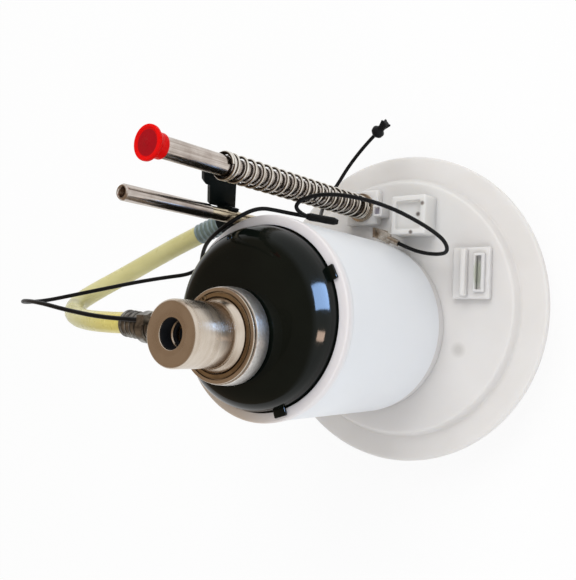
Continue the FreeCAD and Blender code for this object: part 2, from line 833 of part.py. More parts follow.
def make_bracket():
    """Black bracket: a leaning plate behind both rods, with a saddle against each."""
    rod = Vector(D["rod_x"].value, D["rod_y"].value, 0)
    tube = Vector(D["tube_x"].value, D["tube_y"].value, 0)
    across = (tube - rod).normalize()
    behind = Vector(across.y, -across.x, 0)
    span, lean = (tube - rod).Length, D["bracket_lean"].value
    rod_base = D["spring_top"].value + 2 * D["running_clearance"].value
    top = rod_base + D["saddle_height"].value
    base = top - D["bracket_height"].value
    step, step_reach = D["bracket_step"].value, D["bracket_step_reach"].value
    bevel, overhang = D["bracket_step_bevel"].value, D["bracket_overhang"].value
    corners = [
        (-overhang, top + overhang * lean),
        (step_reach - bevel, top - (step_reach - bevel) * lean),
        (step_reach, top - step_reach * lean - bevel),
        (step_reach, top - step_reach * lean - step),
        (span, top - span * lean - step),
        (span, base - span * lean),
        (-overhang, base + overhang * lean),
    ]
    offset = behind * D["bracket_offset"].value
    outline = Part.makePolygon([
        rod + across * reach + offset + Vector(0, 0, height)
        for reach, height in corners + corners[:1]])
    plate = Part.Face(outline).extrude(behind * D["bracket_thickness"].value)
    plate_middle = (top + base - step) / 2 - span * lean
    tube_base = plate_middle - D["saddle_height"].value / 2
    rod_saddle = saddle(rod, behind, across, D["rod_radius"].value, rod_base)
    tube_saddle = saddle(tube, behind, -across, D["tube_radius"].value, tube_base)
    feature("rod_bracket", plate.fuse([rod_saddle, tube_saddle]).removeSplitter())


def saddle(centre, behind, inward, radius, base):
    """A cupped pad against the far side of a rod, with the web that carries it."""
    bore = radius + D["running_clearance"].value
    outer, height = bore + D["saddle_wall"].value, D["saddle_height"].value
    middle = centre + Vector(0, 0, base)
    up = Vector(0, 0, 1)
    turned_left = behind.cross(inward).z > 0
    before, after = D["saddle_far_angle"].value, D["saddle_near_angle"].value
    first = Rotation(up, -before if turned_left else -after).multVec(behind)
    cup = Part.makeCylinder(outer, height, Vector(), up, before + after)
    cup.Placement = Placement(middle, Rotation(Vector(1, 0, 0), first))
    reach = D["bracket_offset"].value + D["bracket_thickness"].value / 2
    near = middle - inward * D["bracket_overhang"].value
    far = near + inward * D["saddle_web"].value
    web = Part.Face(Part.makePolygon([
        near, far, far + behind * reach, near + behind * reach, near])).extrude(up * height)
    return cup.fuse(web).cut(Part.makeCylinder(bore, height, middle))


def route_path(route):
    """Straight runs joined by tangent arcs, and the radius of each arc."""
    points = [Vector(*point) for point in route]
    edges, radii = [], []
    last = points[0]
    for before, corner, after in zip(points, points[1:], points[2:]):
        arrive, leave = corner - before, after - corner
        reach = CORNER_SHARE * min(arrive.Length, leave.Length)
        arrive.normalize()
        leave.normalize()
        half_turn = arrive.getAngle(leave) / 2
        radius = reach / math.tan(half_turn)
        start, stop = corner - arrive * reach, corner + leave * reach
        inward = (leave - arrive).normalize()
        centre = corner + inward * (radius / math.cos(half_turn))
        edges.append(Part.LineSegment(last, start).toShape())
        edges.append(Part.Arc(start, centre - inward * radius, stop).toShape())
        radii.append(radius)
        last = stop
    edges.append(Part.LineSegment(last, points[-1]).toShape())
    return Part.Wire(edges), radii


def make_line(label, route, radius):
    """A soft line of round section along its route."""
    path, radii = route_path(route)
    points = [Vector(*point) for point in route[:2]]
    section = Part.Wire(Part.makeCircle(radius, points[0], points[1] - points[0]))
    solid = path.makePipeShell([section], True, False)
    expected = math.pi * radius ** 2 * path.Length
    share = solid.Volume / expected
    tightest = min(radii)
    print(f"{label}: length {path.Length:.1f}, tightest radius {tightest:.1f}, "
          f"volume over section times length {share:.4f}")
    feature(label, solid)


def make_hose():
    """Fuel hose, its crimped ferrule and nipple on the regulator, its elbow on the can."""
    make_line("fuel_hose", HOSE_ROUTE, D["hose_radius"].value)
    hose_end = Vector(*HOSE_ROUTE[0])
    axis_height = hose_end.z
    regulator = Vector(D["regulator_x"].value, D["regulator_y"].value, axis_height)
    outward = (hose_end - regulator).normalize()
    length = D["ferrule_length"].value
    ferrule_start = hose_end - outward * length
    inside = regulator + outward * (D["regulator_radius"].value - 0.9)
    nipple = rod_shape(D["nipple_radius"].value, inside, hose_end)
    feature("hose_nipple", nipple)
    ferrule = rod_shape(D["ferrule_radius"].value, ferrule_start, hose_end)
    for share in (0.28, 0.5, 0.72):
        groove = Part.makeTorus(
            D["ferrule_radius"].value, D["ferrule_groove"].value,
            ferrule_start + outward * (length * share), outward)
        ferrule = ferrule.cut(groove)
    feature("hose_ferrule", ferrule.cut(nipple))
    can = Vector(D["can_x"].value, D["can_y"].value, HOSE_ROUTE[-1][2])
    end, before = Vector(*HOSE_ROUTE[-1]), Vector(*HOSE_ROUTE[-2])
    knee = end + (end - before).normalize() * 4.6
    knee.z = can.z
    to_can = (can - knee).normalize()
    wall = can - to_can * (D["can_bore"].value + 0.8)
    radius = D["elbow_radius"].value
    elbow = rod_shape(radius, wall, knee).fuse(Part.makeSphere(radius, knee))
    elbow = elbow.fuse(rod_shape(radius, knee, end))
    feature("inlet_elbow", elbow.removeSplitter())


def make_leads():
    """Three thin earth leads, their splice, terminals and the free connector."""
    radius = D["lead_radius"].value
    make_line("earth_lead", EARTH_LEAD_ROUTE, radius)
    make_line("looped_lead", LOOPED_LEAD_ROUTE, radius)
    make_line("tail_lead", TAIL_LEAD_ROUTE, radius)
    make_splice()
    make_spade()
    make_lead_clip()
    make_connector()


def make_splice():
    """Sleeve where the three leads meet."""
    first, second = Vector(*EARTH_LEAD_ROUTE[-1]), Vector(*LOOPED_LEAD_ROUTE[-1])
    start = (first + second) * 0.5
    along = (first - Vector(*EARTH_LEAD_ROUTE[-2])).normalize()
    end = start + along * D["splice_length"].value
    feature("lead_splice", rod_shape(D["splice_radius"].value, start, end))


def make_spade():
    """Crimped spade terminal of the looped lead, and the tab it is pushed on."""
    end = Vector(*LOOPED_LEAD_ROUTE[0])
    along = (end - Vector(*LOOPED_LEAD_ROUTE[1])).normalize()
    barrel_end = end + along * D["barrel_length"].value
    barrel = rod_shape(D["barrel_radius"].value, end, barrel_end)
    turned = Placement(barrel_end, Rotation(Vector(1, 0, 0), along))
    blade = Part.makeBox(
        D["blade_length"].value, D["blade_width"].value, D["blade_thickness"].value,
        Vector(-1.0, -D["blade_width"].value / 2, -D["blade_thickness"].value / 2))
    blade.Placement = turned
    feature("spade_terminal", barrel.fuse(blade).removeSplitter())
    tip = barrel_end + along * (D["blade_length"].value - 1.0)
    tab = new_body("earth_tab", tip.x - D["blade_thickness"].value / 2, tip.y,
                   RAISED_TOP - 1.0)
    block(tab, "tab", ORIGIN, ORIGIN, D["blade_thickness"], D["blade_width"], ORIGIN,
          D["tab_height"])


def make_lead_clip():
    """Band round the ferrule with a small housing that takes the earth lead."""
    hose_end = Vector(*HOSE_ROUTE[0])
    lead_end = Vector(*EARTH_LEAD_ROUTE[0])
    regulator = Vector(D["regulator_x"].value, D["regulator_y"].value, hose_end.z)
    outward = (hose_end - regulator).normalize()
    width, radius = D["clip_band_width"].value, D["ferrule_radius"].value
    outer = radius + D["clip_band_wall"].value
    near = hose_end - outward * D["ferrule_length"].value
    band = rod_shape(outer, near, near + outward * width)
    hole = rod_shape(radius, near - outward, near + outward * (width + 1))
    side, length = D["clip_box_side"].value, D["clip_box_length"].value
    corner = Vector(lead_end.x, lead_end.y - side / 2, lead_end.z - side / 2)
    housing = Part.makeBox(length, side, side, corner)
    foot_length = near.x - width * 0.6
    foot = Part.makeBox(
        length + corner.x - foot_length, side, D["clip_foot_height"].value,
        Vector(foot_length, corner.y, corner.z))
    feature("lead_clip", band.fuse([housing, foot]).cut(hole).removeSplitter())


def make_connector():
    """Two-lobed head on the free end of the tail lead."""
    end = Vector(*TAIL_LEAD_ROUTE[-1])
    along = (end - Vector(*TAIL_LEAD_ROUTE[-2])).normalize()
    length, radius = D["connector_length"].value, D["connector_radius"].value
    side = along.cross(Vector(0, 0, 1)).normalize() * D["connector_lobe"].value
    middle, tip = end + along * (length * 0.45), end + along * length
    neck = rod_shape(radius * 0.6, end, middle)
    lobes = [rod_shape(radius, middle - side, tip - side),
             rod_shape(radius, middle + side, tip + side)]
    feature("tail_connector", neck.fuse(lobes).removeSplitter())


def make_outlet(label, x, y, reach, spigot_top):
    """Elbow on the dry side: an upright spigot and a level nozzle out through the foot."""
    radius, height = D["outlet_radius"], D["outlet_height"]
    elbow_x, elbow_y = as_size(x), as_size(y)
    upright = doc.addObject("Part::Cylinder", f"{label}_upright")
    upright.setExpression("Radius", radius.text)
    upright.setExpression("Height", (PLATE_BASE - height).text)
    place(upright, elbow_x, elbow_y, height)
    spigot = doc.addObject("Part::Cylinder", f"{label}_spigot")
    spigot.setExpression("Radius", D["outlet_spigot"].text)
    spigot.setExpression("Height", (spigot_top - PLATE_BASE).text)
    place(spigot, elbow_x, elbow_y, PLATE_BASE)
    knee = doc.addObject("Part::Sphere", f"{label}_knee")
    knee.setExpression("Radius", radius.text)
    place(knee, elbow_x, elbow_y, height)
    nozzle = doc.addObject("Part::Cylinder", f"{label}_nozzle")
    nozzle.setExpression("Radius", radius.text)
    nozzle.setExpression("Height", reach.text)
    level = Rotation(Vector(1, 0, 0), 90)
    place(nozzle, elbow_x, elbow_y, height, level)
    bead = doc.addObject("Part::Torus", f"{label}_bead")
    bead.setExpression("Radius1", radius.text)
    bead.setExpression("Radius2", (D["outlet_bead"] - radius).text)
    place(bead, elbow_x, elbow_y - (reach - D["outlet_bead_setback"]), height, level)
    body = doc.addObject("Part::MultiFuse", f"{label}_body")
    body.Shapes = [upright, spigot, knee, nozzle, bead]
    bore = doc.addObject("Part::Cylinder", f"{label}_bore")
    bore.setExpression("Radius", D["outlet_bore"].text)
    bore.setExpression("Height", (reach + 1).text)
    place(bore, elbow_x, elbow_y - 0.5, height, level)
    rise = doc.addObject("Part::Cylinder", f"{label}_rise")
    rise.setExpression("Radius", D["outlet_bore"].text)
    rise.setExpression("Height", (spigot_top - height + 1).text)
    place(rise, elbow_x, elbow_y, height)
    bores = doc.addObject("Part::MultiFuse", f"{label}_bores")
    bores.Shapes = [bore, rise]
    elbow = keep(doc.addObject("Part::Cut", label), label)
    elbow.Base = body
    elbow.Tool = bores


def make_all():
    """Every piece of the module."""
    make_flange()
    make_can()
    make_end_cap()
    make_filter_inside()
    make_regulator_shell()
    make_regulator_collar()
    make_regulator_inside()
    make_regulator_clip()
    make_long_rod()
    make_thin_tube()
    make_bracket()
    make_hose()
    make_leads()
    floor_top = CAN_BASE + D["can_floor"]
    make_outlet("outlet_elbow", D["can_x"], D["can_y"], D["outlet_reach"], floor_top)
    make_outlet("return_elbow", D["return_x"], D["return_y"], D["return_reach"],
                PLATE_TOP)


def check_document():
    """Stops on any failed object or bad shape before a file is written."""
    for item in doc.Objects:
        if "Invalid" in item.State or "Error" in item.State:
            raise RuntimeError(f"{item.Label} failed: {item.State}")
    for item in node_objects:
        if item.Shape.isNull() or not item.Shape.isValid():
            raise RuntimeError(f"{item.Label} has no valid shape")
        if len(item.Shape.Solids) != 1:
            raise RuntimeError(f"{item.Label} has {len(item.Shape.Solids)} solids")


def write_parts():
    """One STEP file for each node."""
    os.makedirs("parts", exist_ok=True)
    for item in node_objects:
        item.Shape.exportStep(f"parts/{item.Label}.step")
        box = item.Shape.BoundBox
        print(f"{item.Label}: volume {item.Shape.Volume:.0f}, "
              f"x {box.XMin:.1f} to {box.XMax:.1f}, y {box.YMin:.1f} to {box.YMax:.1f}, "
              f"z {box.ZMin:.1f} to {box.ZMax:.1f}")


make_all()
doc.recompute()
check_document()
write_parts()
print(f"{len(node_objects)} nodes")
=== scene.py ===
"""Fuel filter module on its milky flange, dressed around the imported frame.

All lengths are in metres. The floor is z = 0, the flange lies flat on its foot, and
+Z runs from the flange to the pressure regulator, as in the frame.
"""
import logging
import math
from dataclasses import dataclass, field
from enum import Enum
from typing import Optional, Sequence

import bmesh
import bpy
from mathutils import Matrix, Vector


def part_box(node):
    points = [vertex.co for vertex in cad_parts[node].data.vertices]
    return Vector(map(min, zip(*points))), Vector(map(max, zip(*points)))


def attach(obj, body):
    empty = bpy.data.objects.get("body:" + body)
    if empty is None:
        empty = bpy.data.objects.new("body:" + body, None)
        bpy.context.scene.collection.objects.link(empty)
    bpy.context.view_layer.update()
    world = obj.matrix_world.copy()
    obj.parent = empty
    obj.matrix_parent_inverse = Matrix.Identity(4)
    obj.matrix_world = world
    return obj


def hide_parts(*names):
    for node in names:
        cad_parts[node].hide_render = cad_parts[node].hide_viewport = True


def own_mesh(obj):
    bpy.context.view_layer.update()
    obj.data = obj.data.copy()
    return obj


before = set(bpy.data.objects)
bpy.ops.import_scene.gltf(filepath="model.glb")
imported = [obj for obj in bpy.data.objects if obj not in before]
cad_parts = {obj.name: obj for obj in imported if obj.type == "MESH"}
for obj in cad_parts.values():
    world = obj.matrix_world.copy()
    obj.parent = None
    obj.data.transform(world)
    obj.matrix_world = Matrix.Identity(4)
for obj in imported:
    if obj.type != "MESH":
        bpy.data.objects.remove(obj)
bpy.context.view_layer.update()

MM = 0.001
FULL_TURN = 2 * math.pi
LOG = logging.getLogger("filter_module")

Colour = tuple[float, float, float]
Corner = tuple[float, ...]
Plan = tuple[float, float, float, float]
Piece = bpy.types.Object
Material = bpy.types.Material
Node = bpy.types.Node
Socket = bpy.types.NodeSocket
BRIGHT: Colour = (1.0, 1.0, 1.0)
SEEN_RAYS = ("Camera", "Glossy", "Transmission")


class Body(Enum):
    """The bodies of the frame that a piece can ride on."""

    MODULE = "module"
    PULL_CAP = "pull_cap"
    VALVE = "valve"


class Slot(Enum):
    """The record's material slots."""

    FLANGE = "flange_milky"
    CAN = "can_white"
    CAP = "cap_black"
    SEAL = "seal_rubber"
    PAPER = "filter_paper"
    ELEMENT = "element_plastic"
    REGULATOR = "regulator_steel"
    COLLAR = "collar_steel"
    VALVE = "valve_brass"
    SPRING = "spring_steel"
    CLIP = "clip_steel"
    ROD = "rod_steel"
    RED = "cap_red"
    BRACKET = "bracket_black"
    HOSE = "hose_yellow"
    FERRULE = "ferrule_dark"
    LEAD = "lead_black"
    CONNECTOR = "connector_black"
    OUTLET = "outlet_grey"


class Grain(Enum):
    """Which way the fine marks of a metal run."""

    LENGTHWISE = "along the height of the piece"
    TURNED = "in rings about a vertical axis"
    CAST = "in no direction"


def colour(value: Colour) -> tuple[float, float, float, float]:
    """A colour with its alpha."""
    return (*value, 1.0)


class Graph:
    """Short calls that add nodes to a tree and join them."""

    def __init__(self, tree: bpy.types.NodeTree) -> None:
        """Starts on the tree that the nodes go into."""
        self.tree = tree

    def put(self, node: Node, name: object, value: object) -> None:
        """Sets or links an input of a node.

        Args:
            node: The node.
            name: The input's name or index.
            value: Its value, or the socket that feeds it.
        """
        if isinstance(value, Socket):
            self.tree.links.new(value, node.inputs[name])
        else:
            node.inputs[name].default_value = value

    def add(self, kind: str, inputs: Optional[dict] = None, **settings) -> Node:
        """Adds a node.

        Args:
            kind: Its type name, without the prefix where that is ShaderNode.
            inputs: Values or sockets by input name or index.
            settings: Attributes of the node.

        Returns:
            The new node.
        """
        prefix = "" if kind.startswith("GeometryNode") else "ShaderNode"
        node = self.tree.nodes.new(prefix + kind)
        for name, value in settings.items():
            setattr(node, name, value)
        for name, value in (inputs or {}).items():
            self.put(node, name, value)
        return node

    def math(self, operation: str, first: object, second: object) -> Socket:
        """A sum, product or other step with two numbers."""
        return self.add("Math", {0: first, 1: second}, operation=operation).outputs[0]

    def vector(self, operation: str, *values: object, output: str = "Vector") -> Socket:
        """A step with one or two vectors."""
        node = self.add("VectorMath", dict(enumerate(values)), operation=operation)
        return node.outputs[output]

    def ramp(self, factor: Socket, stops: Sequence[tuple[float, Colour]]) -> Socket:
        """A colour ramp.

        Args:
            factor: What it reads.
            stops: Positions from 0 to 1, each with its colour.

        Returns:
            The colour socket.
        """
        node = self.add("ValToRGB", {"Fac": factor})
        for element, (position, value) in zip(node.color_ramp.elements, stops):
            element.position = position
            element.color = colour(value)
        return node.outputs["Color"]

    def span(self, value: Socket, low: object, high: object, start: object = 0.0,
             stop: object = 1.0) -> Socket:
        """Maps the stretch from start to stop onto low to high.

        Args:
            value: What it reads.
            low: The result at start.
            high: The result at stop.
            start: The lower end of the input.
            stop: The upper end of the input.

        Returns:
            The result socket.
        """
        return self.add("MapRange", {
            "Value": value, "From Min": start, "From Max": stop, "To Min": low,
            "To Max": high}).outputs["Result"]

    def blend(self, factor: Socket, first: object, second: object) -> Socket:
        """Mixes two colours.

        Args:
            factor: 0 for the first and 1 for the second.
            first: A colour or a colour socket.
            second: A colour or a colour socket.

        Returns:
            The colour socket.
        """
        node = self.add("Mix", {0: factor}, data_type="RGBA")
        for index, value in ((6, first), (7, second)):
            self.put(node, index, value if isinstance(value, Socket) else colour(value))
        return node.outputs[2]

    def seen(self) -> Socket:
        """Tells the rays that see the white surroundings from those that light.

        Returns:
            A socket, 1 for camera, glossy and transmission rays and 0 for others.
        """
        path = self.add("LightPath")
        camera, glossy, through = (path.outputs[f"Is {ray} Ray"] for ray in SEEN_RAYS)
        return self.math("MAXIMUM", self.math("MAXIMUM", camera, glossy), through)


class ShaderPen(Graph):
    """Short calls that draw one material."""

    def __init__(self, name: str, material: Optional[Material] = None) -> None:
        """Starts a material, or goes on with one.

        Args:
            name: The material's name.
            material: The one to go on with, or None for a new one.
        """
        self.material = material or bpy.data.materials.new(name)
        self.material.use_nodes = True
        super().__init__(self.material.node_tree)
        self.surface = self.tree.nodes["Principled BSDF"]
        self.place = self.add("TexCoord").outputs["Object"]

    def shifted(self, centre: Sequence[float], stretch: Sequence[float] = (1, 1, 1)
                ) -> Socket:
        """The object coordinate measured from a point and stretched.

        Args:
            centre: The point, in metres.
            stretch: A factor for each axis.

        Returns:
            The vector socket.
        """
        moved = self.vector("SUBTRACT", self.place, tuple(centre))
        return self.vector("MULTIPLY", moved, tuple(stretch))

    def noise(self, scale: float, detail: float = 3.0, vector: Optional[Socket] = None
              ) -> Socket:
        """A noise from 0 to 1.

        Args:
            scale: Its frequency, per metre.
            detail: Its octaves.
            vector: The coordinate it reads, or None for the object's.

        Returns:
            The factor socket.
        """
        return self.add("TexNoise", {"Vector": vector or self.place, "Scale": scale,
                                     "Detail": detail}).outputs["Fac"]

    def from_axis(self, x: float, y: float) -> Socket:
        """The distance from a vertical axis, in metres."""
        return self.vector("LENGTH", self.shifted((x, y, 0.0), (1, 1, 0)), output="Value")

    def along(self, point: Sequence[float], way: Sequence[float]) -> Socket:
        """How far the surface lies from a point in one direction, in metres."""
        return self.vector("DOT_PRODUCT", self.shifted(point), tuple(way), output="Value")

    def height(self) -> Socket:
        """The height over the floor, in metres."""
        return self.add("SeparateXYZ", {0: self.place}).outputs["Z"]

    def feed(self, name: str, value: object) -> None:
        """Sets or links an input of the surface shader."""
        self.put(self.surface, name, value)

    def relief(self, height: Socket, depth: float) -> None:
        """Gives the surface a bump of a depth in metres."""
        node = self.add("Bump", {"Height": height, "Distance": depth, "Strength": 1.0})
        self.feed("Normal", node.outputs["Normal"])


@dataclass(frozen=True)
class Finish:
    """A finish with the record's slot that it stands for."""

    name: str
    slot: Slot

    def make(self) -> Material:
        """The finish's material, made once."""
        found = bpy.data.materials.get(self.name)
        return found or self.build()

    def build(self) -> Material:
        """Makes the material."""
        raise NotImplementedError


@dataclass(frozen=True)
class TintOrShade:
    """A soft-edged patch of another colour round a point: a real tint on some finishes,
    painted shade on the flange and on the red cap.
    """

    point: Corner
    reach: float
    tint: Colour
    share: float = 1.0
    edge: float = 0.5
    stretch: Corner = (1.0, 1.0, 1.0)


@dataclass(frozen=True)
class Plastic(Finish):
    """Moulded plastic or rubber: two close colours, a fine skin and a soft gloss."""

    light: Colour = (0.8, 0.8, 0.8)
    dark: Colour = (0.7, 0.7, 0.7)
    patch: float = 40.0
    smooth: float = 0.35
    rough: float = 0.5
    skin: float = 0.00002
    skin_scale: float = 900.0
    shine: float = 0.5
    glow: float = 0.0
    glow_depth: float = 0.004
    # Patches of another colour: real tints on some finishes, painted shade on the flange
    # and on the red cap's face.
    stains: tuple[TintOrShade, ...] = ()

    def build(self) -> Material:
        """Makes the material."""
        pen = ShaderPen(self.name)
        shown = self.tint(pen)
        for tint_or_shade in self.stains:
            shown = self.spread(pen, shown, tint_or_shade)
        pen.feed("Base Color", shown)
        patches = pen.noise(self.patch * 2.3, 4.0)
        pen.feed("Roughness", pen.span(patches, self.smooth, self.rough, 0.3, 0.7))
        pen.relief(pen.noise(self.skin_scale, 3.0), self.skin)
        pen.feed("Specular IOR Level", self.shine)
        pen.feed("Subsurface Weight", self.glow)
        pen.feed("Subsurface Radius", (1.0, 0.9, 0.75))
        pen.feed("Subsurface Scale", self.glow_depth)
        return pen.material

    def tint(self, pen: ShaderPen) -> Socket:
        """The colour pattern."""
        return pen.ramp(pen.noise(self.patch, 4.0), ((0.32, self.dark), (0.68, self.light)))

    @staticmethod
    def spread(pen: ShaderPen, shown: Socket, tint_or_shade: TintOrShade
               ) -> Socket:
        """The pattern with one patch over it; some patches are real tints and some are
        painted shade.
        """
        gap = pen.vector("LENGTH", pen.shifted(tint_or_shade.point, tint_or_shade.stretch),
                         output="Value")
        share = pen.span(gap, tint_or_shade.share, 0.0, tint_or_shade.reach * tint_or_shade.edge, tint_or_shade.reach)
        return pen.blend(share, shown, tint_or_shade.tint)


@dataclass(frozen=True)
class CanPlastic(Plastic):
    """White can: cool on its wall, with painted shade that turns one side of its rim darker
    and warm.
    """

    # Painted shade: the rim's dark warm colour on its shaded side; the next colour is its
    # lit side.
    rim: Colour = (0.54, 0.45, 0.37)
    rim_lit: Colour = (0.74, 0.71, 0.72)
    rim_base: float = 0.09
    rim_top: float = 0.093
    middle: Corner = (0.0, 0.0, 0.0)
    shade_way: Corner = (-0.8, -0.6, 0.0)
    shade_start: float = 0.006
    shade_stop: float = 0.026

    def tint(self, pen: ShaderPen) -> Socket:
        """A cool wall under a rim whose painted shade darkens and warms it towards one
        side.
        """
        up = pen.span(pen.height(), 0.0, 1.0, self.rim_base, self.rim_top)
        # How far towards the rim's shaded side the surface lies, where the painted shade
        # grows.
        side = pen.span(pen.along(self.middle, self.shade_way), 0.0, 1.0,
                        self.shade_start, self.shade_stop)
        rim = pen.blend(side, self.rim_lit, self.rim)
        return pen.blend(up, super().tint(pen), rim)


@dataclass(frozen=True)
class Steel(Finish):
    """Bare metal with fine marks, stains and worn patches."""

    light: Colour = (0.7, 0.68, 0.65)
    dark: Colour = (0.45, 0.41, 0.37)
    grain: Grain = Grain.CAST
    axis: tuple[float, float] = (0.0, 0.0)
    marks: float = 2600.0
    smooth: float = 0.16
    rough: float = 0.34
    depth: float = 0.00001

    def build(self) -> Material:
        """Makes the material."""
        pen = ShaderPen(self.name)
        marks = pen.noise(self.marks, 2.0, self.direction(pen))
        stains = pen.noise(170.0, 5.0)
        mixed = pen.math("ADD", marks, stains)
        pen.feed("Base Color", pen.ramp(
            pen.span(mixed, 0.0, 1.0, 0.6, 1.4), ((0.15, self.dark), (0.75, self.light))))
        pen.feed("Roughness", pen.span(mixed, self.rough, self.smooth, 0.7, 1.3))
        pen.feed("Metallic", 1.0)
        pen.relief(marks, self.depth)
        return pen.material

    def direction(self, pen: ShaderPen) -> Socket:
        """The coordinate whose noise gives marks that run the grain's way."""
        if self.grain is Grain.LENGTHWISE:
            return pen.shifted((0, 0, 0), (1, 1, 0.02))
        if self.grain is Grain.TURNED:
            return pen.add("CombineXYZ", {0: pen.from_axis(*self.axis),
                                          1: pen.height()}).outputs[0]
        return pen.shifted((0, 0, 0), (0.4, 0.4, 0.4))


@dataclass(frozen=True)
class PaintedShadeCoilSteel(Steel):
    """Wound wire with painted shade: dark over its inner side towards the rod, bright only
    along its outer side.
    """

    mean: float = 0.0045
    wire: float = 0.0005
    # The painted shade's colour.
    gap: Colour = (0.030, 0.024, 0.018)

    def build(self) -> Material:
        """Makes the material, with the painted shade laid over the steel's colour."""
        material = super().build()
        pen = ShaderPen(self.name, material)
        # Painted shade by how far out from the middle of the wire the surface lies.
        off = pen.math("SUBTRACT", pen.from_axis(*self.axis), self.mean)
        share = pen.span(off, 0.92, 0.0, self.wire * 0.15, self.wire * 0.62)
        shown = pen.surface.inputs["Base Color"].links[0].from_socket
        pen.feed("Base Color", pen.blend(share, shown, self.gap))
        return material


def in_scene(name: str, data: bpy.types.ID) -> Piece:
    """Puts a mesh, curve, lamp or camera in the scene.

    Args:
        name: The object's name.
        data: What it shows.

    Returns:
        The object.
    """
    piece = bpy.data.objects.new(name, data)
    bpy.context.scene.collection.objects.link(piece)
    return piece


def round_line(name: str, points: Sequence[Corner], radius: float, steps: int,
               roundness: int) -> bpy.types.Curve:
    """A round line on a smooth curve.

    Args:
        name: The curve's name.
        points: Its control points, in metres.
        radius: Its radius.
        steps: How many pieces each stretch of it has.
        roundness: How finely its section is divided.

    Returns:
        The curve.
    """
    data = bpy.data.curves.new(name, "CURVE")
    data.dimensions = "3D"
    spline = data.splines.new("NURBS")
    spline.points.add(len(points) - 1)
    for control, point in zip(spline.points, points):
        control.co = (*point, 1.0)
    spline.order_u = 3
    spline.use_endpoint_u = True
    spline.resolution_u = steps
    data.bevel_depth = radius
    data.bevel_resolution = roundness
    data.use_fill_caps = True
    return data


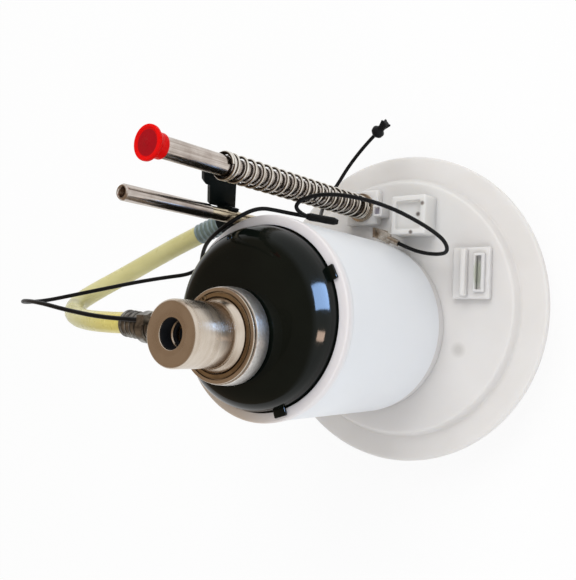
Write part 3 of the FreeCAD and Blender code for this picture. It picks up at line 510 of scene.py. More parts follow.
class Mesh:
    """Calls that build the meshes of the pieces."""

    @staticmethod
    def rounded(corners: Sequence[Corner], steps: int = 5) -> list[tuple[float, float]]:
        """An outline with rounded corners.

        Args:
            corners: Points (a, b) or (a, b, fillet), in order round the outline.
            steps: How many pieces each rounding has.

        Returns:
            The outline's points.
        """
        points = []
        count = len(corners)
        for index, corner in enumerate(corners):
            here = Vector(corner[:2])
            if len(corner) < 3:
                points.append(tuple(here))
                continue
            before = Vector(corners[index - 1][:2]) - here
            after = Vector(corners[(index + 1) % count][:2]) - here
            turn = before.angle(after)
            reach = corner[2] / math.tan(turn / 2)
            reach = min(reach, before.length * 0.49, after.length * 0.49)
            start = here + before.normalized() * reach
            stop = here + after.normalized() * reach
            for step in range(steps + 1):
                share = step / steps
                first, last = start.lerp(here, share), here.lerp(stop, share)
                points.append(tuple(first.lerp(last, share)))
        return points

    @staticmethod
    def finish(mesh: bmesh.types.BMesh, name: str, sharp: float = 40.0
               ) -> Piece:
        """Turns a bmesh into an object of the scene.

        Args:
            mesh: The bmesh, which is freed.
            name: The object's name.
            sharp: The angle in degrees over which an edge stays sharp.

        Returns:
            The object.
        """
        bmesh.ops.remove_doubles(mesh, verts=mesh.verts, dist=1e-7)
        bmesh.ops.recalc_face_normals(mesh, faces=mesh.faces)
        data = bpy.data.meshes.new(name)
        mesh.to_mesh(data)
        mesh.free()
        piece = in_scene(name, data)
        Mesh.smooth(piece, sharp)
        return piece

    @staticmethod
    def smooth(piece: Piece, sharp: float = 40.0) -> None:
        """Shades a mesh smooth but for its sharp edges."""
        piece.data.polygons.foreach_set("use_smooth", [True] * len(piece.data.polygons))
        piece.data.set_sharp_from_angle(angle=math.radians(sharp))

    @staticmethod
    def lathe(name: str, outline: Sequence[Corner],
              centre: Sequence[float] = (0.0, 0.0, 0.0), segments: int = 96,
              steps: int = 5, sharp: float = 40.0) -> Piece:
        """Turns a closed outline of (radius, height) about a vertical axis.

        Args:
            name: The object's name.
            outline: Points (radius, height) or (radius, height, fillet).
            centre: Where radius 0 and height 0 lie.
            segments: How many steps the turn has.
            steps: How many pieces each rounding has.
            sharp: The angle in degrees over which an edge stays sharp.

        Returns:
            The object.
        """
        if any(len(corner) > 2 for corner in outline):
            outline = Mesh.rounded(outline, steps)
        mesh = bmesh.new()
        rings = []
        for step in range(segments):
            angle = FULL_TURN * step / segments
            rings.append([mesh.verts.new((centre[0] + radius * math.cos(angle),
                                          centre[1] + radius * math.sin(angle),
                                          centre[2] + height))
                          for radius, height in outline])
        count = len(outline)
        for step in range(segments):
            here, there = rings[step], rings[(step + 1) % segments]
            for index in range(count):
                following = (index + 1) % count
                if max(outline[index][0], outline[following][0]) < 1e-9:
                    continue
                corners = [here[index], there[index], there[following], here[following]]
                if outline[index][0] < 1e-9:
                    corners = [here[index], there[following], here[following]]
                elif outline[following][0] < 1e-9:
                    corners = [here[index], there[index], here[following]]
                mesh.faces.new(corners)
        return Mesh.finish(mesh, name, sharp)

    @staticmethod
    def aim(piece: Piece, start: Vector, along: Vector) -> Piece:
        """Moves a mesh made about Z so that Z runs along a direction from a point.

        Args:
            piece: The object.
            start: Where its origin goes.
            along: Where its Z goes.

        Returns:
            The object.
        """
        turned = Vector((0, 0, 1)).rotation_difference(along.normalized())
        piece.data.transform(Matrix.Translation(start) @ turned.to_matrix().to_4x4())
        return piece

    @staticmethod
    def block(name: str, low: Sequence[float], high: Sequence[float], edge: float
              ) -> Piece:
        """A moulded block with rounded edges.

        Args:
            name: The object's name.
            low: Its lowest corner.
            high: Its highest corner.
            edge: The radius of its edges.

        Returns:
            The object.
        """
        mesh = bmesh.new()
        bmesh.ops.create_cube(mesh, size=1.0)
        size = Vector(high) - Vector(low)
        middle = (Vector(high) + Vector(low)) / 2
        for vertex in mesh.verts:
            for axis in range(3):
                vertex.co[axis] *= size[axis]
            vertex.co += middle
        bmesh.ops.bevel(mesh, geom=mesh.edges[:], offset=edge, segments=3, profile=0.5,
                        affect="EDGES", clamp_overlap=True)
        return Mesh.finish(mesh, name, 50.0)

    @staticmethod
    def bead(name: str, points: Sequence[Corner], radius: float) -> Piece:
        """A thin round bead along a smooth line.

        Args:
            name: The object's name.
            points: The line's control points, in metres.
            radius: The bead's radius.

        Returns:
            The object.
        """
        line = bpy.data.objects.new(name, round_line(name, points, radius, 12, 4))
        piece = in_scene(name, bpy.data.meshes.new_from_object(line))
        bpy.data.objects.remove(line)
        Mesh.smooth(piece)
        return piece

    @staticmethod
    def settle(piece: Piece) -> Piece:
        """Turns a piece with live modifiers into a plain mesh."""
        graph = bpy.context.evaluated_depsgraph_get()
        data = bpy.data.meshes.new_from_object(piece.evaluated_get(graph), depsgraph=graph)
        piece.modifiers.clear()
        piece.data = data
        return piece

    @staticmethod
    def cut(piece: Piece, *tools: Piece) -> Piece:
        """Cuts tools out of a piece and removes them.

        Args:
            piece: The object that is cut.
            tools: What is taken out of it.

        Returns:
            The object.
        """
        for tool in tools:
            modifier = piece.modifiers.new("cut", "BOOLEAN")
            modifier.operation = "DIFFERENCE"
            modifier.solver = "EXACT"
            modifier.object = tool
        bpy.context.view_layer.update()
        Mesh.settle(piece)
        for tool in tools:
            bpy.data.objects.remove(tool)
        Mesh.smooth(piece)
        return piece

    @staticmethod
    def join(name: str, pieces: Sequence[Piece]) -> Piece:
        """Puts several meshes in one object.

        Args:
            name: The new object's name.
            pieces: The objects, which are removed.

        Returns:
            The new object.
        """
        mesh = bmesh.new()
        for piece in pieces:
            mesh.from_mesh(piece.data)
        data = bpy.data.meshes.new(name)
        mesh.to_mesh(data)
        mesh.free()
        for piece in pieces:
            bpy.data.objects.remove(piece)
        joined = in_scene(name, data)
        Mesh.smooth(joined)
        return joined


class Repeat(Graph):
    """A Geometry Nodes tree for what repeats or is wound."""

    def __init__(self, name: str) -> None:
        """Starts a tree.

        Args:
            name: The tree's name.
        """
        super().__init__(bpy.data.node_groups.new(name, "GeometryNodeTree"))
        self.sockets: dict[str, str] = {}
        face = self.tree.interface
        face.new_socket("Geometry", in_out="INPUT", socket_type="NodeSocketGeometry")
        face.new_socket("Geometry", in_out="OUTPUT", socket_type="NodeSocketGeometry")
        self.entry = self.tree.nodes.new("NodeGroupInput")
        self.end = self.tree.nodes.new("NodeGroupOutput")

    def size(self, name: str, whole: bool = False) -> Socket:
        """A named input of the tree.

        Args:
            name: The input's name.
            whole: Whether it is a whole number.

        Returns:
            The socket that gives it.
        """
        kind = "NodeSocketInt" if whole else "NodeSocketFloat"
        item = self.tree.interface.new_socket(name, in_out="INPUT", socket_type=kind)
        self.sockets[name] = item.identifier
        return self.entry.outputs[name]

    def close(self, geometry: Socket, finish: Finish) -> None:
        """Ends the tree: instances made real, shaded smooth, with their material."""
        real = self.add("GeometryNodeRealizeInstances", {0: geometry})
        smooth = self.add("GeometryNodeSetShadeSmooth", {"Geometry": real.outputs[0]})
        painted = self.add("GeometryNodeSetMaterial", {"Geometry": smooth.outputs[0],
                                                       "Material": finish.make()})
        self.tree.links.new(painted.outputs[0], self.end.inputs["Geometry"])

    def run(self, name: str, sizes: dict[str, float]) -> Piece:
        """Runs the tree and keeps what it makes as a plain mesh.

        Args:
            name: The object's name.
            sizes: The value of each input by name.

        Returns:
            The object.
        """
        piece = in_scene(name, bpy.data.meshes.new(name))
        modifier = piece.modifiers.new("repeat", "NODES")
        modifier.node_group = self.tree
        for size, value in sizes.items():
            modifier[self.sockets[size]] = value
        bpy.context.view_layer.update()
        return Mesh.settle(piece)


def helix_tree(name: str, finish: Finish) -> Repeat:
    """A tree that winds a wire into a compression spring with closed ends.

    Args:
        name: The tree's name.
        finish: The wire's finish.

    Returns:
        The tree, with inputs Radius, Height, Turns, Wire and Closed.
    """
    steps_per_turn = 40
    tree = Repeat(name)
    radius, height = tree.size("Radius"), tree.size("Height")
    turns, wire, closed = tree.size("Turns"), tree.size("Wire"), tree.size("Closed")
    spiral = tree.add("GeometryNodeCurveSpiral", {
        "Resolution": steps_per_turn, "Rotations": turns, "Start Radius": radius,
        "End Radius": radius, "Height": 1.0})
    share = tree.add("GeometryNodeInputPosition")
    split = tree.add("SeparateXYZ", {0: share.outputs[0]})
    low = tree.math("DIVIDE", closed, turns)
    high = tree.math("SUBTRACT", 1.0, low)
    pitch = tree.math("MULTIPLY", closed, tree.math("MULTIPLY", wire, 2.2))
    room = tree.math("SUBTRACT", height, tree.math("MULTIPLY", wire, 2.0))
    open_rise = tree.math("SUBTRACT", room, tree.math("MULTIPLY", pitch, 2.0))
    start, middle, stop = (
        tree.span(split.outputs["Z"], 0.0, rise, first, last)
        for first, last, rise in ((0.0, low, pitch), (low, high, open_rise),
                                  (high, 1.0, pitch)))
    level = tree.math("ADD", start, tree.math("ADD", middle, stop))
    raised = tree.math("ADD", level, wire)
    place = tree.add("CombineXYZ", {0: split.outputs["X"], 1: split.outputs["Y"],
                                    2: raised})
    wound = tree.add("GeometryNodeSetPosition", {"Geometry": spiral.outputs[0],
                                                 "Position": place.outputs[0]})
    section = tree.add("GeometryNodeCurvePrimitiveCircle", {"Resolution": 10,
                                                            "Radius": wire})
    swept = tree.add("GeometryNodeCurveToMesh", {
        "Curve": wound.outputs[0], "Profile Curve": section.outputs[0],
        "Fill Caps": True})
    tree.close(swept.outputs[0], finish)
    return tree


def ribs_tree(name: str, finish: Finish) -> Repeat:
    """A tree that sets equal round ribs side by side along Z.

    Args:
        name: The tree's name.
        finish: The ribs' finish.

    Returns:
        The tree, with inputs Radius, Wire, Count and Pitch.
    """
    tree = Repeat(name)
    radius, wire = tree.size("Radius"), tree.size("Wire")
    count, pitch = tree.size("Count", whole=True), tree.size("Pitch")
    step = tree.add("CombineXYZ", {2: pitch})
    line = tree.add("GeometryNodeMeshLine", {"Count": count, "Offset": step.outputs[0]})
    ring = tree.add("GeometryNodeCurvePrimitiveCircle", {"Resolution": 48,
                                                         "Radius": radius})
    section = tree.add("GeometryNodeCurvePrimitiveCircle", {"Resolution": 10,
                                                            "Radius": wire})
    rib = tree.add("GeometryNodeCurveToMesh", {
        "Curve": ring.outputs[0], "Profile Curve": section.outputs[0]})
    placed = tree.add("GeometryNodeInstanceOnPoints", {
        "Points": line.outputs[0], "Instance": rib.outputs[0]})
    tree.close(placed.outputs[0], finish)
    return tree


@dataclass(frozen=True)
class Stand:
    """Where a round CAD node stands: its axis, radius and heights."""

    x: float
    y: float
    radius: float
    low: float
    high: float

    @classmethod
    def of(cls, node: str) -> "Stand":
        """Reads a node of the frame.

        Args:
            node: The CAD node's name.

        Returns:
            Its stand.
        """
        low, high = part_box(node)
        return cls((low.x + high.x) / 2, (low.y + high.y) / 2, (high.x - low.x) / 2,
                   low.z, high.z)

    @property
    def height(self) -> float:
        """How tall the node is."""
        return self.high - self.low

    def at(self) -> tuple[float, float, float]:
        """The point of the axis at the node's foot."""
        return (self.x, self.y, self.low)


def dress(piece: Piece, finish: Finish, body: Body, *nodes: str
          ) -> Piece:
    """Paints a piece, seats it on its body and lets it stand for CAD nodes.

    Args:
        piece: The object.
        finish: Its finish.
        body: The body it rides on.
        nodes: The CAD nodes that it replaces.

    Returns:
        The object.
    """
    piece.data.materials.clear()
    piece.data.materials.append(finish.make())
    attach(piece, body.value)
    if nodes:
        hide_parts(*nodes)
    LOG.info("%s rides on %s and replaces %s", piece.name, body.value, nodes or "nothing")
    return piece


def paint_node(node: str, finish: Finish) -> None:
    """Gives a carried-over CAD node its material.

    Args:
        node: The CAD node's name.
        finish: Its finish.
    """
    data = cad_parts[node].data
    data.materials.clear()
    data.materials.append(finish.make())
    LOG.info("%s keeps its shape, painted %s", node, finish.name)


# Where the round stacks stand.
CAN = Stand.of("filter_can")
COLLAR = Stand.of("regulator_collar")
SHELL = Stand.of("regulator_shell")
ROD = Stand.of("guide_rod")
SPRING = Stand.of("rod_spring")
RED = Stand.of("red_cap")
TUBE = Stand.of("feed_tube")
TIP = Stand.of("feed_tube_tip")
REGULATOR_AXIS = (SHELL.x, SHELL.y)

MILKY = Plastic(
    "milky_flange", Slot.FLANGE, light=(0.70, 0.685, 0.675), dark=(0.64, 0.62, 0.605),
    patch=22.0, smooth=0.3, rough=0.45, glow=0.4, glow_depth=0.008, stains=(
        # Painted shade round the service tower.
        TintOrShade((0.012, 0.036, 0.024), 0.024, (0.60, 0.61, 0.60), 0.45, 0.2),
        # Painted shade where the return passage shows dark through the plate.
        TintOrShade((0.0301, -0.0166, 0.021), 0.0034, (0.40, 0.38, 0.36), 0.5, 0.3),
        # Painted shade in the slot's opening.
        TintOrShade((0.0385, 0.0128, 0.0245), 0.0015, (0.36, 0.40, 0.30), 0.7, 0.6,
              (1.0, 0.22, 0.5)),
        TintOrShade((-0.0050, 0.0386, 0.0256), 0.0022, (0.42, 0.40, 0.47), 0.9, 0.7),
        # Painted shade: three dark ovals for port holes on the service tower that are not
        # modelled.
        TintOrShade((0.0177, 0.0400, 0.031), 0.0011, (0.10, 0.08, 0.07), 0.9, 0.4),
        TintOrShade((0.0148, 0.0362, 0.0286), 0.0012, (0.10, 0.08, 0.07), 0.9, 0.4),
        TintOrShade((0.0130, 0.0288, 0.031), 0.0011, (0.10, 0.08, 0.07), 0.9, 0.4)))
WHITE = CanPlastic(
    "white_can", Slot.CAN, light=(0.79, 0.815, 0.85), dark=(0.75, 0.775, 0.81), patch=14.0,
    smooth=0.32, rough=0.42, glow=0.12, glow_depth=0.003, rim_base=CAN.high - 0.004,
    rim_top=CAN.high - 0.001, middle=(CAN.x, CAN.y, CAN.high))
GLOSSY_BLACK = Plastic(
    "glossy_black_dome", Slot.CAP, light=(0.0050, 0.0070, 0.0052),
    dark=(0.0022, 0.0034, 0.0028), patch=30.0, smooth=0.08, rough=0.15, skin=0.000008,
    skin_scale=420.0, shine=0.18)
RUBBER = Plastic(
    "black_seal", Slot.SEAL, light=(0.012, 0.013, 0.015), dark=(0.006, 0.007, 0.009),
    patch=200.0, smooth=0.4, rough=0.6, shine=0.2)
PAPER = Plastic(
    "filter_paper", Slot.PAPER, light=(0.80, 0.70, 0.46), dark=(0.70, 0.58, 0.36),
    patch=160.0, smooth=0.8, rough=0.95, skin=0.00008, skin_scale=1600.0)
ELEMENT = Plastic(
    "element_plastic", Slot.ELEMENT, light=(0.74, 0.74, 0.70), dark=(0.66, 0.66, 0.62),
    patch=60.0)
WARM_STEEL = Steel(
    "regulator_shell_steel", Slot.REGULATOR, light=(0.66, 0.585, 0.50),
    dark=(0.56, 0.475, 0.385), grain=Grain.TURNED, axis=REGULATOR_AXIS, marks=420.0,
    smooth=0.2, rough=0.3)
SNAP_STEEL = Steel(
    "snap_ring_steel", Slot.CLIP, light=(0.44, 0.345, 0.23), dark=(0.22, 0.165, 0.10),
    grain=Grain.TURNED, axis=REGULATOR_AXIS, marks=900.0, smooth=0.22, rough=0.36)
GREY_STEEL = Steel(
    "brushed_collar_steel", Slot.COLLAR, light=(0.86, 0.84, 0.81),
    dark=(0.62, 0.60, 0.58), marks=2600.0, smooth=0.36, rough=0.52, depth=0.00003)
BRASS = Steel(
    "turned_brass", Slot.VALVE, light=(0.78, 0.62, 0.34), dark=(0.52, 0.38, 0.18),
    grain=Grain.TURNED, axis=REGULATOR_AXIS)
WIRE = PaintedShadeCoilSteel(
    "spring_wire", Slot.SPRING, light=(0.82, 0.79, 0.73), dark=(0.60, 0.55, 0.48),
    axis=(ROD.x, ROD.y), marks=900.0, smooth=0.14, rough=0.3, mean=SPRING.radius - 0.00055,
    wire=0.00053)
VALVE_WIRE = Steel(
    "valve_spring_wire", Slot.SPRING, light=(0.74, 0.70, 0.64), dark=(0.42, 0.37, 0.31),
    marks=900.0)
CLIP_STEEL = Steel(
    "clip_wire", Slot.CLIP, light=(0.60, 0.54, 0.47), dark=(0.34, 0.28, 0.22),
    marks=1200.0, smooth=0.22, rough=0.4)
ROD_STEEL = Steel(
    "drawn_rod_steel", Slot.ROD, light=(0.62, 0.56, 0.51), dark=(0.36, 0.30, 0.26),
    grain=Grain.LENGTHWISE, marks=2200.0, smooth=0.14, rough=0.28)
TUBE_STEEL = Steel(
    "thin_tube_steel", Slot.ROD, light=(0.68, 0.59, 0.43), dark=(0.42, 0.34, 0.23),
    grain=Grain.LENGTHWISE, marks=2200.0, smooth=0.16, rough=0.3)
RED_PLASTIC = Plastic(
    "red_cap_plastic", Slot.RED, light=(0.74, 0.004, 0.003), dark=(0.64, 0.004, 0.004),
    patch=120.0, smooth=0.24, rough=0.36, shine=0.06, glow=0.05, glow_depth=0.002, stains=(
        # Painted shade darkening the cap's dished face.
        TintOrShade((RED.x, RED.y, RED.high), 0.0046, (0.28, 0.005, 0.010), 0.9, 0.92,
              (1.0, 1.0, 4.0)),))
BLACK = Plastic(
    "black_moulding", Slot.BRACKET, light=(0.0050, 0.0080, 0.0080),
    dark=(0.0030, 0.0050, 0.0052), patch=90.0, smooth=0.34, rough=0.5, shine=0.12)
HOSE = Plastic(
    "yellow_hose", Slot.HOSE, light=(0.62, 0.585, 0.30), dark=(0.54, 0.50, 0.235),
    patch=60.0, smooth=0.22, rough=0.38, glow=0.4, glow_depth=0.003, shine=0.4, stains=(
        TintOrShade((-0.0398, -0.0122, 0.127), 0.024, (0.68, 0.56, 0.12), 0.7, 0.2),
        TintOrShade((-0.0385, 0.0271, 0.0838), 0.0125, (0.10, 0.15, 0.16), 0.9, 0.9)))
SLEEVE = Plastic(
    "grey_barb_sleeve", Slot.HOSE, light=(0.30, 0.37, 0.37), dark=(0.13, 0.18, 0.20),
    patch=260.0, smooth=0.18, rough=0.34)
DARK_METAL = Steel(
    "dark_ferrule", Slot.FERRULE, light=(0.36, 0.35, 0.32), dark=(0.14, 0.13, 0.12),
    marks=1400.0, smooth=0.24, rough=0.42)
INSULATION = Plastic(
    "black_insulation", Slot.LEAD, light=(0.0060, 0.0062, 0.0070),
    dark=(0.0030, 0.0032, 0.0036), patch=300.0, smooth=0.36, rough=0.5, shine=0.18)
PLUG = Plastic(
    "black_plug", Slot.CONNECTOR, light=(0.0090, 0.0095, 0.0110),
    dark=(0.0045, 0.0045, 0.0055), patch=260.0, smooth=0.3, rough=0.46, shine=0.14)
GREY_PLASTIC = Plastic(
    "grey_outlet", Slot.OUTLET, light=(0.66, 0.66, 0.62), dark=(0.58, 0.58, 0.54),
    patch=80.0)


@dataclass
class Studio:
    """The floor, the lamps, the white surroundings and the camera."""

    camera_place: Corner = (0.15594, -0.01411, 0.29992)
    camera_x: Corner = (0.80062, 0.04447, -0.59751)
    camera_y: Corner = (0.0, 0.99724, 0.07422)
    camera_z: Corner = (0.59917, -0.05942, 0.79842)
    lens: float = 47.80
    floor_side: float = 6.0
    floor_glow: float = 0.9
    sky: float = 0.60
    ceiling_way: Corner = (-0.35, -0.35, 0.87)
    ceiling: Colour = (0.32, 0.235, 0.165)
    windows: list[Piece] = field(default_factory=list)

    def build(self) -> None:
        """Builds everything that isn't the object."""
        self.make_camera()
        self.make_floor()
        self.make_sky()
        self.make_lamps()
        settings = bpy.context.scene.view_settings
        settings.view_transform = "Standard"

    def make_camera(self) -> None:
        """The camera of the photograph."""
        data = bpy.data.cameras.new("camera")
        data.lens = self.lens
        data.sensor_width = 36.0
        camera = in_scene("camera", data)
        columns = (self.camera_x, self.camera_y, self.camera_z)
        turned = Matrix(columns).transposed().to_quaternion().to_matrix().to_4x4()
        camera.matrix_world = Matrix.Translation(self.camera_place) @ turned
        bpy.context.scene.camera = camera

    def make_floor(self) -> None:
        """A pale floor, white to the camera and in reflections, that keeps the shadow."""
        mesh = bmesh.new()
        bmesh.ops.create_grid(mesh, x_segments=2, y_segments=2, size=self.floor_side / 2)
        floor = Mesh.finish(mesh, "floor")
        pen = ShaderPen("floor_paper")
        pen.feed("Base Color", pen.ramp(pen.noise(3.0), (
            (0.3, (0.80, 0.80, 0.80)), (0.7, (0.83, 0.83, 0.83)))))
        pen.feed("Roughness", 0.9)
        pen.feed("Specular IOR Level", 0.0)
        share = pen.math("MULTIPLY", pen.seen(), self.floor_glow)
        glow = pen.add("Emission", {"Color": colour(BRIGHT), "Strength": 1.0})
        mix = pen.add("MixShader", {0: share, 1: pen.surface.outputs["BSDF"],
                                    2: glow.outputs[0]})
        pen.put(pen.tree.nodes["Material Output"], "Surface", mix.outputs[0])
        floor.data.materials.append(pen.material)

    def make_sky(self) -> None:
        """White surroundings that show a dim warm ceiling in what shines."""
        world = bpy.data.worlds.new("surroundings")
        bpy.context.scene.world = world
        world.use_nodes = True
        graph = Graph(world.node_tree)
        back, path = graph.tree.nodes["Background"], graph.add("LightPath")
        near = graph.vector("DOT_PRODUCT", graph.add("TexCoord").outputs["Generated"],
                            self.ceiling_way, output="Value")
        overhead = graph.ramp(near, ((0.05, BRIGHT), (0.4, self.ceiling)))
        tint = graph.blend(path.outputs["Is Glossy Ray"], BRIGHT, overhead)
        graph.put(back, "Color", tint)
        graph.put(back, "Strength", graph.span(graph.seen(), self.sky, 1.0))

    def make_lamps(self) -> None:
        """A broad key and a fill that light, and two windows that only glint."""
        self.lamp("key", (0.15, 0.75, 0.85), 0.7, 0.7, 6.5, (1.0, 0.99, 0.97))
        self.lamp("fill", (0.55, -0.75, 0.75), 0.9, 0.9, 5.0, (0.97, 0.98, 1.0))
        self.lamp("window_blue", (0.164, 0.066, 0.101), 0.085, 0.19, 2.3,
                  (0.36, 0.58, 1.0), glint=True)
        self.lamp("window_warm", (0.1725, -0.0576, 0.105), 0.03, 0.09, 0.25,
                  (1.0, 0.72, 0.56), glint=True)

    def glint_on(self, *pieces: Piece) -> None:
        """Lets the windows shine on these pieces alone, as behind a flag.

        Args:
            pieces: What shows the windows.
        """
        shown = bpy.data.collections.new("window_receivers")
        for piece in pieces:
            shown.objects.link(piece)
        for lamp in self.windows:
            lamp.light_linking.receiver_collection = shown

    def lamp(self, name: str, place: Sequence[float], width: float, height: float,
             power: float, tint: Colour, glint: bool = False) -> None:
        """Adds an area lamp that looks at the filter.

        Args:
            name: The lamp's name.
            place: Where it stands.
            width: Its width.
            height: Its height.
            power: Its power in watts.
            tint: Its colour.
            glint: Whether it is only seen in what shines, and lights nothing else.
        """
        data = bpy.data.lights.new(name, "AREA")
        data.shape = "RECTANGLE"
        data.size, data.size_y = width, height
        data.energy = power
        data.color = tint
        lamp = in_scene(name, data)
        target = Vector((CAN.x, CAN.y, CAN.high))
        lamp.location = place
        lamp.rotation_euler = (Vector(place) - target).to_track_quat("Z", "Y").to_euler()
        lamp.visible_camera = False
        lamp.visible_glossy = glint
        lamp.visible_diffuse = not glint
        if glint:
            self.windows.append(lamp)


@dataclass
class SoftLines:
    """The hose, the three earth leads and what sits on their ends."""

    hose_radius: float = 0.0036
    lead_radius: float = 0.00075
    hose: list[Corner] = field(default_factory=lambda: [
        (-39.8, -12.2, 127.0), (-54.5, -12.2, 126.3), (-70.5, -11.3, 122.0),
        (-84.4, -8.7, 115.0), (-92.5, -4.4, 106.0), (-92.0, 1.0, 97.0),
        (-84.0, 7.6, 90.0), (-70.5, 15.0, 86.0), (-55.0, 21.6, 84.5),
        (-38.5, 27.1, 83.8)])
    earth: list[Corner] = field(default_factory=lambda: [
        (-27.4, -11.1, 132.8), (-40.5, -11.0, 135.3), (-56.6, -8.9, 138.3),
        (-72.3, -6.4, 138.4), (-86.5, -5.6, 135.0), (-96.0, -6.0, 129.0),
        (-95.0, -5.0, 120.5), (-85.5, -2.3, 114.5), (-74.5, 1.0, 107.0),
        (-65.5, 4.0, 99.5), (-57.0, 6.2, 93.0), (-50.5, 7.6, 88.2), (-45.2, 10.4, 87.2),
        (-42.4, 15.2, 90.0), (-35.0, 19.2, 95.3), (-24.5, 23.4, 98.5),
        (-19.0, 28.8, 93.5), (-18.3, 31.5, 86.0), (-18.0, 31.9, 78.6),
        (-14.3, 31.2, 73.6), (-9.7, 30.4, 69.9)])
    looped: list[Corner] = field(default_factory=lambda: [
        (6.7, 24.8, 29.0), (11.2, 22.7, 28.6), (16.8, 20.8, 28.8), (23.9, 19.7, 29.5),
        (30.0, 20.0, 32.5), (31.4, 23.5, 38.0), (28.8, 26.9, 44.0), (25.3, 29.9, 50.5),
        (21.1, 32.7, 57.0), (16.3, 34.8, 63.0), (10.5, 36.4, 68.0), (4.1, 37.3, 72.0),
        (-2.4, 36.9, 75.5), (-8.6, 34.6, 77.5), (-10.6, 31.7, 75.5),
        (-9.3, 30.4, 70.4)])
    tail: list[Corner] = field(default_factory=lambda: [
        (-5.9, 29.7, 66.8), (-9.8, 31.0, 60.5), (-15.0, 33.2, 53.0),
        (-19.4, 36.8, 46.0), (-21.4, 41.5, 40.5), (-20.8, 46.1, 37.0),
        (-18.8, 50.6, 35.0), (-16.7, 55.4, 33.5), (-13.3, 60.2, 32.8),
        (-7.8, 65.4, 33.2), (-2.2, 68.7, 35.0)])
    hose_length: float = 0.1319
    earth_length: float = 0.2041
    looped_length: float = 0.1005
    tail_length: float = 0.0699
    splice_radius: float = 0.00145
    splice_length: float = 0.012

    def build(self) -> None:
        hose = self.line("hose_tube", self.hose, self.hose_radius, HOSE, "fuel_hose")
        self.point(self.hose[0])
        splice = self.make_splice()
        plug = self.make_plug()
        earth = self.line("earth_wire", self.earth, self.lead_radius, INSULATION,
                          "earth_lead")
        self.point(self.earth[0])
        looped = self.line("looped_wire", self.looped, self.lead_radius, INSULATION,
                           "looped_lead")
        self.point(self.looped[0])
        tail = self.line("tail_wire", self.tail, self.lead_radius, INSULATION, "tail_lead")
        self.point(self.tail[0])

    @staticmethod
    def point(corner: Corner) -> tuple[float, float, float]:
        """A route point in metres."""
        return tuple(value * MM for value in corner)

    def line(self, name: str, route: Sequence[Corner], radius: float, finish: Finish,
             node: str) -> Piece:
        """A soft line on the NURBS curve of its route.

        Args:
            name: The object's name.
            route: Its control points, in millimetres.
            radius: Its radius, in metres.
            finish: Its finish.
            node: The CAD node that it replaces.

        Returns:
            The curve object.
        """
        points = [self.point(corner) for corner in route]
        piece = in_scene(name, round_line(name, points, radius, 10, 6))
        return dress(piece, finish, Body.MODULE, node)

    def make_splice(self) -> Piece:
        """The sleeve where the leads meet, pinched at both ends.

        Returns:
            The sleeve.
        """
        first = Vector(self.point(self.earth[-1]))
        second = Vector(self.point(self.looped[-1]))
        start = (first + second) / 2
        along = first - Vector(self.point(self.earth[-2]))
        radius, length = self.splice_radius, self.splice_length
        sleeve = Mesh.lathe("splice_sleeve", [
            (0.0, 0.0), (radius * 0.7, 0.0, 0.0003), (radius, 0.0014, 0.0006),
            (radius * 0.97, length * 0.45), (radius, length * 0.6),
            (radius * 0.98, length - 0.0016, 0.0006), (radius * 0.6, length, 0.0003),
            (0.0, length)], segments=40)
        return dress(Mesh.aim(sleeve, start, along), INSULATION, Body.MODULE, "lead_splice")

    def make_plug(self) -> Piece:
        """The push-in plug on the free lead: a round head and a flared four-way barb.

        Returns:
            The plug.
        """
        end = Vector(self.point(self.tail[-1]))
        along = (end - Vector(self.point(self.tail[-2]))).normalized()
        head = Mesh.lathe("plug_head", [
            (0.0, -0.0006), (0.0012, -0.0006, 0.0003), (0.0025, 0.0006, 0.0008),
            (0.0027, 0.0022, 0.0008), (0.0015, 0.0034, 0.0005), (0.0013, 0.0072, 0.0003),
            (0.0, 0.0072)], segments=40)
        fins, fin_base, fin_height, narrow = [], 0.0036, 0.0035, 0.55
        for turn in range(2):
            fin = Mesh.block(f"plug_fin_{turn}", (-0.0005, -0.0023, fin_base),
                             (0.0005, 0.0023, 0.0071), 0.0003)
            for vertex in fin.data.vertices:
                share = (vertex.co.z - fin_base) / fin_height
                vertex.co.y *= narrow + (1.0 - narrow) * share
            fin.data.transform(Matrix.Rotation(math.pi / 2 * turn, 4, "Z"))
            fins.append(fin)
        plug = Mesh.aim(Mesh.join("lead_plug", [head, *fins]), end, along)
        return dress(plug, PLUG, Body.MODULE, "tail_connector")


